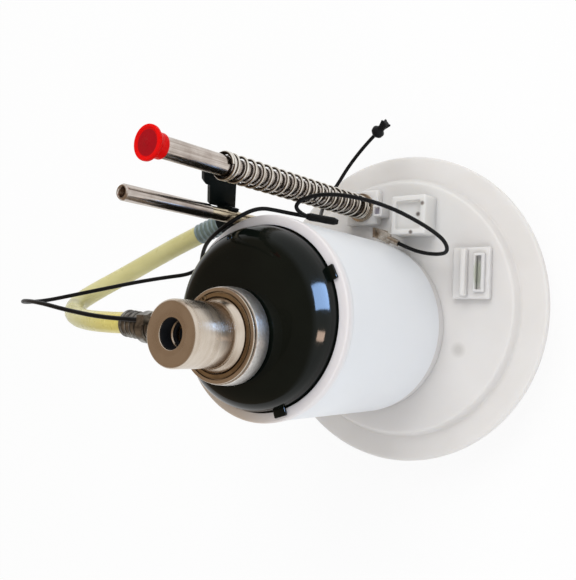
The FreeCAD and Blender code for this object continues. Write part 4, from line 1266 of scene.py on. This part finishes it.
@dataclass
class Flange:
    """The milky plate with its raised disc, towers and foot."""

    edge: float = 0.0012
    plate_base: float = 0.0135
    plate_top: float = 0.017
    raised_top: float = 0.021
    raised_radius: float = 0.0515
    raised_slope: float = 0.0016
    rim: float = 0.063
    foot_radius: float = 0.050
    foot_wall: float = 0.003
    pedestal_radius: float = 0.034
    pedestal_top: float = 0.0252
    notch_half: float = 0.00635
    notch_top: float = 0.01295
    return_x: float = 0.029
    tower: Plan = (0.0115, 0.0358, 0.015, 0.0155)
    tower_top: float = 0.031
    tower_wall: float = 0.002
    well_depth: float = 0.0024
    slot_depth: float = 0.0007
    window: Plan = (-0.0046, 0.039, 0.0044, 0.005)
    window_top: float = 0.0275
    window_wall: float = 0.0010
    pane_depth: float = 0.0022
    slot: Plan = (0.0355, 0.013, 0.015, 0.020)
    slot_base_top: float = 0.024
    slot_top: float = 0.0275
    spring_block: tuple[float, float] = (0.015, 0.0145)
    spring_seat: float = 0.025
    socket_depth: float = 0.0098
    boss_radius: float = 0.0042
    boss_top: float = 0.0246
    sink: float = 0.0004
    tower_sink: float = 0.0006
    overcut: float = 0.004

    def build(self) -> None:
        """Builds the flange's pieces."""
        dress(self.make_plate(), MILKY, Body.MODULE, "flange")
        for make in (self.make_foot, self.make_pedestal, self.make_tower, self.make_window,
                     self.make_slot_tower, self.make_spring_block, self.make_tube_boss):
            dress(make(), MILKY, Body.MODULE)

    def make_plate(self) -> Piece:
        """The rim, the sloped step and the raised disc."""
        return Mesh.lathe("flange_plate", [
            (0.0, self.plate_base), (self.rim, self.plate_base, 0.0008),
            (self.rim, self.plate_top, self.edge),
            (self.raised_radius + self.raised_slope, self.plate_top, 0.0012),
            (self.raised_radius, self.raised_top, 0.0014), (0.0, self.raised_top)],
            segments=192, sharp=60.0, steps=6)

    def make_foot(self) -> Piece:
        """The foot ring with a notch for each nozzle."""
        inner = self.foot_radius - self.foot_wall
        ring = Mesh.lathe("flange_foot", [
            (inner, 0.0, 0.0006), (self.foot_radius, 0.0, 0.0008),
            (self.foot_radius, self.plate_base + self.sink),
            (inner, self.plate_base + self.sink)], segments=160)
        return Mesh.cut(ring, *(
            Mesh.block(f"notch_{x:.3f}", (x - self.notch_half, -0.055, -0.01),
                       (x + self.notch_half, -0.025, self.notch_top), 0.0012)
            for x in (CAN.x, self.return_x)))

    def make_pedestal(self) -> Piece:
        """The round step under the can."""
        height = self.pedestal_top - self.raised_top + self.sink
        return Mesh.lathe("can_pedestal", [
            (0.0, 0.0), (self.pedestal_radius + 0.0008, 0.0, 0.0006),
            (self.pedestal_radius, height, 0.0008), (0.0, height)],
            (CAN.x, CAN.y, self.raised_top - self.sink), segments=144)

    @staticmethod
    def box(name: str, plan: Plan, low: float, high: float, edge: float,
            inset: float = 0.0) -> Piece:
        """A block with rounded edges that stands on a plan.

        Args:
            name: The object's name.
            plan: Its middle x and y, width and depth.
            low: Its base.
            high: Its top.
            edge: The radius of its edges.
            inset: How much smaller it is on each side.

        Returns:
            The object.
        """
        x, y, width, depth = plan
        half_x, half_y = width / 2 - inset, depth / 2 - inset
        return Mesh.block(name, (x - half_x, y - half_y, low),
                          (x + half_x, y + half_y, high), edge)

    def make_tower(self) -> Piece:
        """The open service tower with its well."""
        base, top = self.raised_top - self.tower_sink, self.tower_top
        tower = self.box("service_tower", self.tower, base, top, 0.0007)
        return Mesh.cut(tower, self.box("well", self.tower, top - self.well_depth,
                                        top + self.overcut, 0.0009, self.tower_wall))

    def make_window(self) -> Piece:
        """The small box beside the spring with its square window."""
        base, top = self.raised_top - self.tower_sink, self.window_top
        box = self.box("window_box", self.window, base, top, 0.0005)
        return Mesh.cut(box, self.box("pane", self.window, top - self.pane_depth,
                                      top + self.overcut, 0.0002, self.window_wall))

    def make_slot_tower(self) -> Piece:
        """The low tower with its rib and its rimmed slot."""
        x, y, width, depth = self.slot
        opening = (x + width / 4, y, 0.0024, 0.013)
        top, rib_base = self.slot_base_top, self.slot_base_top - 0.001
        rim_top = (top + self.slot_top) / 2
        base = self.box("slot_tower", self.slot, self.raised_top - self.tower_sink, top,
                        0.0008)
        rib = self.box("slot_rib", (x - 0.002, y, 0.002, depth - 0.002), rib_base,
                       self.slot_top, 0.0006)
        rim = self.box("slot_rim", (x + width / 4, y, 0.0044, 0.015), rib_base, rim_top,
                       0.0006)
        for piece, floor in ((base, top - self.slot_depth), (rim, self.raised_top)):
            Mesh.cut(piece, self.box("slot_hole", opening, floor, rim_top + self.overcut,
                                     0.0003))
        return Mesh.join("slotted_tower", [base, rib, rim])

    def make_spring_block(self) -> Piece:
        """The block that the rod and its spring stand on."""
        block = self.box("spring_block", (ROD.x, ROD.y, *self.spring_block),
                         self.plate_top - self.sink, self.spring_seat, 0.0008)
        socket = Mesh.lathe("rod_socket", [
            (0.0, 0.0), (ROD.radius, 0.0), (ROD.radius, 0.02), (0.0, 0.02)],
            (ROD.x, ROD.y, self.spring_seat - self.socket_depth), segments=64)
        return Mesh.cut(block, socket)

    def make_tube_boss(self) -> Piece:
        """The boss that holds the thin tube."""
        height = self.boss_top - self.raised_top + self.sink
        return Mesh.lathe("tube_boss", [
            (TUBE.radius, 0.0), (self.boss_radius + self.sink, 0.0),
            (self.boss_radius, height, 0.0007), (TUBE.radius, height, 0.0003)],
            (TUBE.x, TUBE.y, self.raised_top - self.sink), segments=64)


@dataclass
class Canister:
    """The white can, its black domed cap and what is inside them."""

    bore: float = 0.0334
    base_radius: float = 0.0352
    floor: float = 0.0024
    hole: float = 0.004
    lip: float = 0.0028
    crown: float = 0.0115
    shoulder: float = 0.0099
    cap_radius: float = 0.0332
    cap_wall: float = 0.0024
    skirt: float = 0.009
    groove_low: float = -0.0058
    groove_high: float = -0.0036
    groove_depth: float = 0.0014
    seat_radius: float = 0.0158
    seat_thickness: float = 0.0014
    seat_sink: float = 0.0004
    overhang: float = 0.0010
    lip_thickness: float = 0.0007
    port_height: float = 0.01
    port_radius: float = 0.0077
    dome_radius: float = 0.0319
    step: float = 0.0010
    pip: Corner = (-0.0181, 0.0184, 0.1022)
    bead: tuple[Corner, ...] = (
        (-0.0074, 0.0209, 0.1009), (-0.0024, 0.0160, 0.1036), (0.0025, 0.0112, 0.1043))
    tab_angles: tuple[float, ...] = (27.5, 205.0, 289.5)
    tab_width: float = 0.005
    tab_reach: float = 0.0347
    tab_height: float = 0.0013

    def build(self) -> Piece:
        """Builds the can, the cap and the element.

        Returns:
            The domed cap.
        """
        dress(self.make_can(), WHITE, Body.MODULE, "filter_can")
        dome = dress(self.make_dome(), GLOSSY_BLACK, Body.MODULE, "end_cap")
        for node, finish in (
                ("element_disc_bottom", ELEMENT), ("element_disc_top", ELEMENT),
                ("centre_tube", ELEMENT), ("filter_element", PAPER),
                ("cap_seal", RUBBER), ("nozzle_seal", RUBBER)):
            paint_node(node, finish)
        return dome

    def make_can(self) -> Piece:
        """The tapered shell with its wider lip."""
        height, lip = CAN.height, self.bore - self.overhang
        return Mesh.lathe("can_shell", [
            (self.hole, 0.0), (self.base_radius, 0.0, 0.0014),
            (CAN.radius - 0.0004, height - self.lip * 1.5, 0.0006),
            (CAN.radius, height - self.lip, 0.0006), (CAN.radius, height, 0.0008),
            (lip, height, 0.0003), (lip, height - self.lip_thickness),
            (self.bore, height - self.lip_thickness), (self.bore, self.floor, 0.001),
            (self.hole, self.floor)], (CAN.x, CAN.y, CAN.low), segments=192, steps=6)

    def make_dome(self) -> Piece:
        """The glossy dome with its seat, port, tabs and moulded marks."""
        radius, wall = self.cap_radius, self.cap_wall
        inner = radius - wall
        groove = radius - self.groove_depth
        outline = [(0.0, self.crown - wall)]
        outline += self.quarter(radius - self.shoulder, self.crown - self.shoulder,
                                self.shoulder - wall, upwards=False)
        outline += [(inner, -self.skirt), (radius, -self.skirt),
                    (radius, self.groove_low), (groove, self.groove_low),
                    (groove, self.groove_high), (radius, self.groove_high),
                    (radius, -self.step), (self.dome_radius, -self.step)]
        outline += self.quarter(self.dome_radius - self.shoulder,
                                self.crown - self.shoulder, self.shoulder, upwards=True)
        outline += [(0.0, self.crown)]
        rim = (CAN.x, CAN.y, CAN.high)
        dome = Mesh.lathe("cap_dome", outline, rim, segments=192)
        top = CAN.high + self.crown
        seat = Mesh.lathe("regulator_seat", [
            (0.0, 0.0), (self.seat_radius, 0.0),
            (self.seat_radius, self.seat_thickness, 0.0005),
            (0.0, self.seat_thickness)], (SHELL.x, SHELL.y, top - self.seat_sink),
            segments=128)
        for piece in (dome, seat):
            Mesh.cut(piece, Mesh.lathe(f"port_{piece.name}", [
                (0.0, 0.0), (self.port_radius, 0.0), (self.port_radius, self.port_height),
                (0.0, self.port_height)], (SHELL.x, SHELL.y, top - self.port_height / 2),
                segments=96))
        pip = Mesh.lathe("moulding_pip", [
            (0.0, 0.0), (0.0012, 0.0, 0.0002), (0.0011, 0.0008, 0.0003),
            (0.0006, 0.0008, 0.0002), (0.0004, 0.0005), (0.0, 0.0005)],
            self.pip, segments=40)
        bead = Mesh.bead("moulding_bead", self.bead, 0.0002)
        return Mesh.join("domed_cap", [dome, seat, pip, bead, *self.make_tabs()])

    @staticmethod
    def quarter(x: float, y: float, radius: float, upwards: bool
                ) -> list[tuple[float, float]]:
        """A quarter circle from its side to its top, or back.

        Args:
            x: The centre's radius.
            y: The centre's height.
            radius: The arc's radius.
            upwards: Whether it starts at the side.

        Returns:
            Its points.
        """
        steps = 14
        points = [(x + radius * math.cos(math.pi / 2 * step / steps),
                   y + radius * math.sin(math.pi / 2 * step / steps))
                  for step in range(steps + 1)]
        return points if upwards else points[::-1]

    def make_tabs(self) -> list[Piece]:
        """The tabs that hold the cap on the rim."""
        tabs = []
        for index, angle in enumerate(self.tab_angles):
            tab = Mesh.block(f"cap_tab_{index}",
                             (self.dome_radius - 0.0008, -self.tab_width / 2, 0.0),
                             (self.tab_reach, self.tab_width / 2, self.tab_height),
                             0.0004)
            turned = Matrix.Rotation(math.radians(angle), 4, "Z")
            tab.data.transform(Matrix.Translation((CAN.x, CAN.y, CAN.high)) @ turned)
            tabs.append(tab)
        return tabs


@dataclass
class Regulator:
    """The pressure regulator on the dome: shell, collar, circlip and valve."""

    radius: float = 0.0108
    wall: float = 0.0015
    edge: float = 0.0022
    hole: float = 0.0049
    neck: float = 0.0123
    mouth: float = 0.0089
    ledge: float = 0.0003
    crimp: float = 0.0014
    crimp_radius: float = 0.0158
    cup: float = 0.0164
    nozzle: float = 0.0076
    nozzle_length: float = 0.008
    bore: float = 0.00304
    floor: float = 0.0014
    clip_inner: float = 0.0127
    clip_outer: float = 0.0141
    clip_height: float = 0.0009
    clip_turn: float = 152.0
    clip_angle: float = 326.0
    lug_radius: float = 0.0011
    valve_wire: float = 0.0004
    valve_travel: float = 0.0015

    def build(self) -> None:
        """Builds the regulator's pieces."""
        for piece, finish, body, node in (
                (self.make_shell(), WARM_STEEL, Body.MODULE, "regulator_shell"),
                (self.make_collar(), GREY_STEEL, Body.MODULE, "regulator_collar"),
                (self.make_clip(), SNAP_STEEL, Body.MODULE, "regulator_clip"),
                (self.make_seat(), WARM_STEEL, Body.MODULE, "valve_seat"),
                (self.make_valve(), BRASS, Body.VALVE, "regulator_valve")):
            dress(piece, finish, body, node)
        # Black pieces of painted shade in the face's hole.
        dress(self.make_shade(), RUBBER, Body.MODULE)
        dress(self.make_pad(), RUBBER, Body.VALVE)
        self.make_spring()
        paint_node("diaphragm", RUBBER)

    def make_shell(self) -> Piece:
        """The drawn shell: face ring, barrel, flared neck and rolled flange."""
        front = SHELL.height
        inner, outer = self.radius - self.wall, self.crimp_radius
        ledge, mouth = self.ledge, self.mouth
        outline = Mesh.rounded([
            (mouth, 0.0), (outer, 0.0, 0.0003), (outer, self.crimp, 0.0005),
            (outer - 0.0014, self.crimp, 0.00025), (outer - 0.0014, ledge, 0.0001),
            (self.neck + 0.0002, ledge, 0.0001), (self.neck, ledge + 0.0012, 0.0009),
            (self.neck - 0.0006, 0.0026, 0.0012), (self.radius + 0.0002, 0.0038, 0.0008),
            (self.radius + 0.0001, 0.0044, 0.0001), (self.radius - 0.0002, 0.0045),
            (self.radius - 0.0002, 0.0047), (self.radius, 0.0048, 0.0001),
            (self.radius, front, self.edge), (self.radius - 0.0034, front, 0.0006),
            (self.radius - 0.0042, front - 0.0003, 0.0006),
            (self.hole, front - 0.0003, 0.0006),
            (self.hole, front - self.wall * 1.5), (inner, front - self.wall * 1.5, 0.0008),
            (inner, ledge + 0.0009), (mouth, ledge + 0.0009)], 8)
        return Mesh.lathe("regulator_barrel", outline, SHELL.at(), segments=160)

    def make_collar(self) -> Piece:
        """The brushed cup under the shell, with its nozzle."""
        base = COLLAR.low + self.nozzle_length
        height = COLLAR.high - base
        inner = self.cup - 0.0014
        outline = Mesh.rounded([
            (self.bore, -self.nozzle_length), (self.nozzle, -self.nozzle_length, 0.0006),
            (self.nozzle, 0.0), (self.cup, 0.0, 0.0005), (self.cup, height * 0.4),
            (self.cup - 0.0003, height, 0.0004), (inner, height, 0.0002),
            (inner, self.floor, 0.0004), (self.bore, self.floor)])
        return Mesh.lathe("brushed_collar", outline, (COLLAR.x, COLLAR.y, base),
                          segments=160)

    def make_clip(self) -> Piece:
        """The flat snap ring, open at one side with an eye lug at each end."""
        section = Mesh.rounded([
            (self.clip_inner, 0.0, 0.0001), (self.clip_outer, 0.0, 0.0001),
            (self.clip_outer, self.clip_height, 0.0002),
            (self.clip_inner, self.clip_height, 0.0002)], 3)
        mesh = bmesh.new()
        steps, rings = 120, []
        for step in range(steps + 1):
            angle = math.radians(self.clip_turn + self.clip_angle * step / steps)
            rings.append([mesh.verts.new((radius * math.cos(angle),
                                          radius * math.sin(angle), height))
                          for radius, height in section])
        for here, there in zip(rings, rings[1:]):
            for side in range(len(section)):
                following = (side + 1) % len(section)
                mesh.faces.new([here[side], there[side], there[following],
                                here[following]])
        mesh.faces.new(rings[0])
        mesh.faces.new(rings[-1])
        parts = [Mesh.finish(mesh, "snap_ring", 50.0)]
        middle = (self.clip_inner + self.clip_outer) / 2
        for index, angle in enumerate((self.clip_turn, self.clip_turn + self.clip_angle)):
            turn = math.radians(angle)
            parts.append(Mesh.lathe(f"eye_lug_{index}", [
                (0.0004, 0.0), (self.lug_radius, 0.0, 0.0002),
                (self.lug_radius, self.clip_height + 0.0004, 0.0002),
                (0.0004, self.clip_height + 0.0004, 0.0002)],
                (middle * math.cos(turn), middle * math.sin(turn), 0.0), segments=32))
        clip = Mesh.join("circlip", parts)
        place = (SHELL.x, SHELL.y, SHELL.low + self.crimp - self.clip_height)
        clip.data.transform(Matrix.Translation(place))
        return clip

    def make_seat(self) -> Piece:
        """The seat ring that shows through the face's hole."""
        seat = Stand.of("valve_seat")
        height = seat.height
        return Mesh.lathe("seat_ring", [
            (0.003, 0.0), (seat.radius, 0.0), (seat.radius, height),
            (0.0043, height, 0.0003), (0.0039, height - 0.0004, 0.0002),
            (0.0039, height * 0.5), (0.003, height * 0.5)], seat.at(), segments=96)

    def make_shade(self) -> Piece:
        """Painted shade: a black liner in the face's hole above the seat, and a black ring
        on the seat's step inside its bore.
        """
        seat = Stand.of("valve_seat")
        top = seat.height
        face = SHELL.high - seat.low
        # Painted shade: a black liner on the wall of the face's hole.
        liner_shade = Mesh.lathe("face_hole_shade", [
            (0.0044, top + 0.00005), (self.hole, top + 0.00005),
            (self.hole, face - 0.0009), (0.0047, face - 0.0009, 0.0001)], seat.at(),
            segments=96)
        # Painted shade: a black ring on the seat's step.
        rubber = Mesh.lathe("seat_step_shade", [
            (0.00305, top * 0.5), (0.00385, top * 0.5), (0.00385, top * 0.5 + 0.0006),
            (0.00305, top * 0.5 + 0.0006, 0.0002)], seat.at(), segments=96)
        return Mesh.join("seat_shade", [liner_shade, rubber])

    @staticmethod
    def make_pad() -> Piece:
        """The rubber pad on top of the moving valve."""
        valve = Stand.of("regulator_valve")
        return Mesh.lathe("valve_pad", [
            (0.0, -0.0003), (0.0026, -0.0003, 0.0001), (0.0026, 0.0008, 0.0004),
            (0.0, 0.0010)], (valve.x, valve.y, valve.high), segments=64)

    def make_valve(self) -> Piece:
        """The moving valve under its seat."""
        valve = Stand.of("regulator_valve")
        length, stem, head = valve.height, 0.0015, 0.002
        return Mesh.lathe("valve_plunger", [
            (0.0, 0.0), (stem, 0.0, 0.0003), (stem, length - head, 0.0003),
            (valve.radius, length - head, 0.0003), (valve.radius, length, 0.0004),
            (0.0, length)], valve.at(), segments=64)

    def make_spring(self) -> None:
        """The valve's spring, at the length of its CAD node."""
        stand = Stand.of("valve_spring")
        wire, height = self.valve_wire, stand.height
        spring = helix_tree("valve_spring_turns", VALVE_WIRE).run("valve_coil", {
            "Radius": stand.radius - wire, "Height": height, "Turns": 8.0, "Wire": wire,
            "Closed": 1.5})
        spring.data.transform(Matrix.Translation(stand.at()))
        dress(spring, VALVE_WIRE, Body.MODULE, "valve_spring")
        stand.at()
        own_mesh(spring)


@dataclass
class Rods:
    """The sprung guide rod with its red cap, and the thin tube beside it."""

    wire: float = 0.00053
    turns: float = 22.0
    closed_turns: float = 1.8
    bracket_travel: float = 0.035
    tip_bore: float = 0.0015
    tip_chamfer: float = 0.0007

    def build(self) -> None:
        """Builds the rods, the spring and the cap."""
        dress(self.make_rod(), ROD_STEEL, Body.MODULE, "guide_rod")
        dress(self.make_washer(), CLIP_STEEL, Body.MODULE, "spring_washer")
        self.make_spring()
        dress(self.make_red_cap(), RED_PLASTIC, Body.PULL_CAP, "red_cap")
        dress(self.make_tube(), TUBE_STEEL, Body.MODULE, "feed_tube")
        dress(self.make_tip(), ROD_STEEL, Body.MODULE, "feed_tube_tip")
        paint_node("rod_bracket", BLACK)

    def make_rod(self) -> Piece:
        """The long rod with its rounded end."""
        length = ROD.height
        return Mesh.lathe("long_rod", [
            (0.0, 0.0), (ROD.radius, 0.0, 0.0004), (ROD.radius, length, 0.0006),
            (0.0, length)], ROD.at(), segments=96)

    def make_washer(self) -> Piece:
        """The washer under the spring."""
        stand = Stand.of("spring_washer")
        height = stand.height
        return Mesh.lathe("seat_washer", [
            (ROD.radius + 0.0001, 0.0), (stand.radius, 0.0, 0.0002),
            (stand.radius, height, 0.0003), (ROD.radius + 0.0001, height, 0.0002)],
            stand.at(), segments=80)

    def make_spring(self) -> None:
        """The long spring under the bracket, at the length of its CAD node."""
        height = SPRING.height
        spring = helix_tree("rod_spring_turns", WIRE).run("rod_coil", {
            "Radius": WIRE.mean, "Height": height, "Turns": self.turns,
            "Wire": self.wire, "Closed": self.closed_turns})
        spring.data.transform(Matrix.Translation(SPRING.at()))
        dress(spring, WIRE, Body.MODULE, "rod_spring")
        SPRING.at()
        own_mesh(spring)

    def make_red_cap(self) -> Piece:
        """The red cap: collar, flare and a dished face with a moulding gate."""
        total = RED.height
        overlap, bore, collar = 0.0048, ROD.radius + 0.00005, 0.0041
        floor = total - 0.0004
        return Mesh.lathe("pull_cap", [
            (bore, 0.0, 0.0002), (collar, 0.0, 0.0003), (collar, 0.0019, 0.0003),
            (collar + 0.0002, 0.0031, 0.0007), (RED.radius - 0.0004, 0.0043, 0.0003),
            (RED.radius, 0.0046, 0.0002), (RED.radius, total, 0.0004),
            (RED.radius - 0.0009, total, 0.0002), (RED.radius - 0.0012, floor, 0.0002),
            (0.0011, floor), (0.0008, floor + 0.0002, 0.0001), (0.0, floor + 0.0002),
            (0.0, overlap), (bore, overlap)], RED.at(), segments=96)

    def make_tube(self) -> Piece:
        """The lower length of the thin tube with its spigot."""
        length, shoulder = TUBE.height, TIP.low - TUBE.low
        spigot, bore = 0.0017, 0.0011
        return Mesh.lathe("lower_tube", [
            (bore, 0.0), (TUBE.radius, 0.0), (TUBE.radius, shoulder, 0.0002),
            (spigot, shoulder), (spigot, length, 0.0002), (bore, length)],
            TUBE.at(), segments=72)

    def make_tip(self) -> Piece:
        """The upper length of the thin tube with its chamfered open end."""
        length, spigot, depth = TIP.height, 0.0017, 0.0072
        return Mesh.lathe("upper_tube", [
            (spigot, 0.0), (TIP.radius, 0.0, 0.0003),
            (TIP.radius, length - self.tip_chamfer, 0.0003),
            (TIP.radius - 0.0005, length, 0.0002),
            (self.tip_bore + 0.0004, length, 0.0002),
            (self.tip_bore, length - 0.0008), (self.tip_bore, depth), (spigot, depth)],
            TIP.at(), segments=72)


@dataclass
class Fittings:
    """What joins the hose and the leads to the module, and the dry-side outlets."""

    ferrule_radius: float = 0.0046
    ferrule_length: float = 0.0128
    nipple_radius: float = 0.0025
    rib: float = 0.0005
    sleeve_rib: float = 0.00045
    rib_count: int = 6
    sleeve_radius: float = 0.0039
    sleeve_length: float = 0.0105

    def build(self, lines: SoftLines) -> None:
        """Builds the fittings.

        Args:
            lines: The hose and leads that they sit on.
        """
        hose_end = Vector(lines.point(lines.hose[0]))
        regulator = Vector((SHELL.x, SHELL.y, hose_end.z))
        outward = (hose_end - regulator).normalized()
        self.make_ferrule(hose_end, outward)
        paint_node("hose_nipple", GREY_STEEL)
        self.make_sleeve(lines)
        for node, finish in (
                ("inlet_elbow", BLACK), ("lead_clip", DARK_METAL),
                ("spade_terminal", CLIP_STEEL), ("earth_tab", CLIP_STEEL),
                ("outlet_elbow", GREY_PLASTIC), ("return_elbow", GREY_PLASTIC)):
            paint_node(node, finish)

    def make_ferrule(self, hose_end: Vector, outward: Vector) -> None:
        """The dark crimped ferrule with its ribs.

        Args:
            hose_end: Where the hose leaves it.
            outward: The way the hose leaves.
        """
        start = hose_end - outward * self.ferrule_length
        radius, length, rib = self.ferrule_radius, self.ferrule_length, self.rib
        core = Mesh.lathe("ferrule_core", [
            (self.nipple_radius, 0.0), (radius - rib, 0.0, 0.0003),
            (radius - rib, length, 0.0003), (self.nipple_radius, length)], segments=64)
        ribs = ribs_tree("ferrule_ribs", DARK_METAL).run("ferrule_rings", {
            "Radius": radius - rib, "Wire": rib, "Count": self.rib_count,
            "Pitch": (length - rib * 4) / (self.rib_count - 1)})
        ribs.data.transform(Matrix.Translation((0, 0, rib * 2)))
        ferrule = Mesh.join("crimped_ferrule", [core, ribs])
        dress(Mesh.aim(ferrule, start, outward), DARK_METAL, Body.MODULE, "hose_ferrule")

    def make_sleeve(self, lines: SoftLines) -> None:
        """The ribbed end of the hose where the fitting's barbs press through.

        Args:
            lines: The hose that it sits on.
        """
        end = Vector(lines.point(lines.hose[-1]))
        before = Vector(lines.point(lines.hose[-2]))
        back = (before - end).normalized()
        rib = self.sleeve_rib
        ribs = ribs_tree("barb_ribs", SLEEVE).run("barb_rings", {
            "Radius": self.sleeve_radius - rib, "Wire": rib, "Count": self.rib_count,
            "Pitch": self.sleeve_length / (self.rib_count - 1)})
        dress(Mesh.aim(ribs, end + back * rib, back), SLEEVE, Body.MODULE)


def main() -> None:
    """Builds the studio, the cords and every piece."""
    logging.basicConfig(level=logging.INFO, format="%(name)s: %(message)s")
    studio = Studio()
    studio.build()
    lines = SoftLines()
    lines.build()
    Flange().build()
    studio.glint_on(Canister().build())
    Regulator().build()
    Rods().build()
    Fittings().build(lines)


if __name__ == "__main__":
    main()
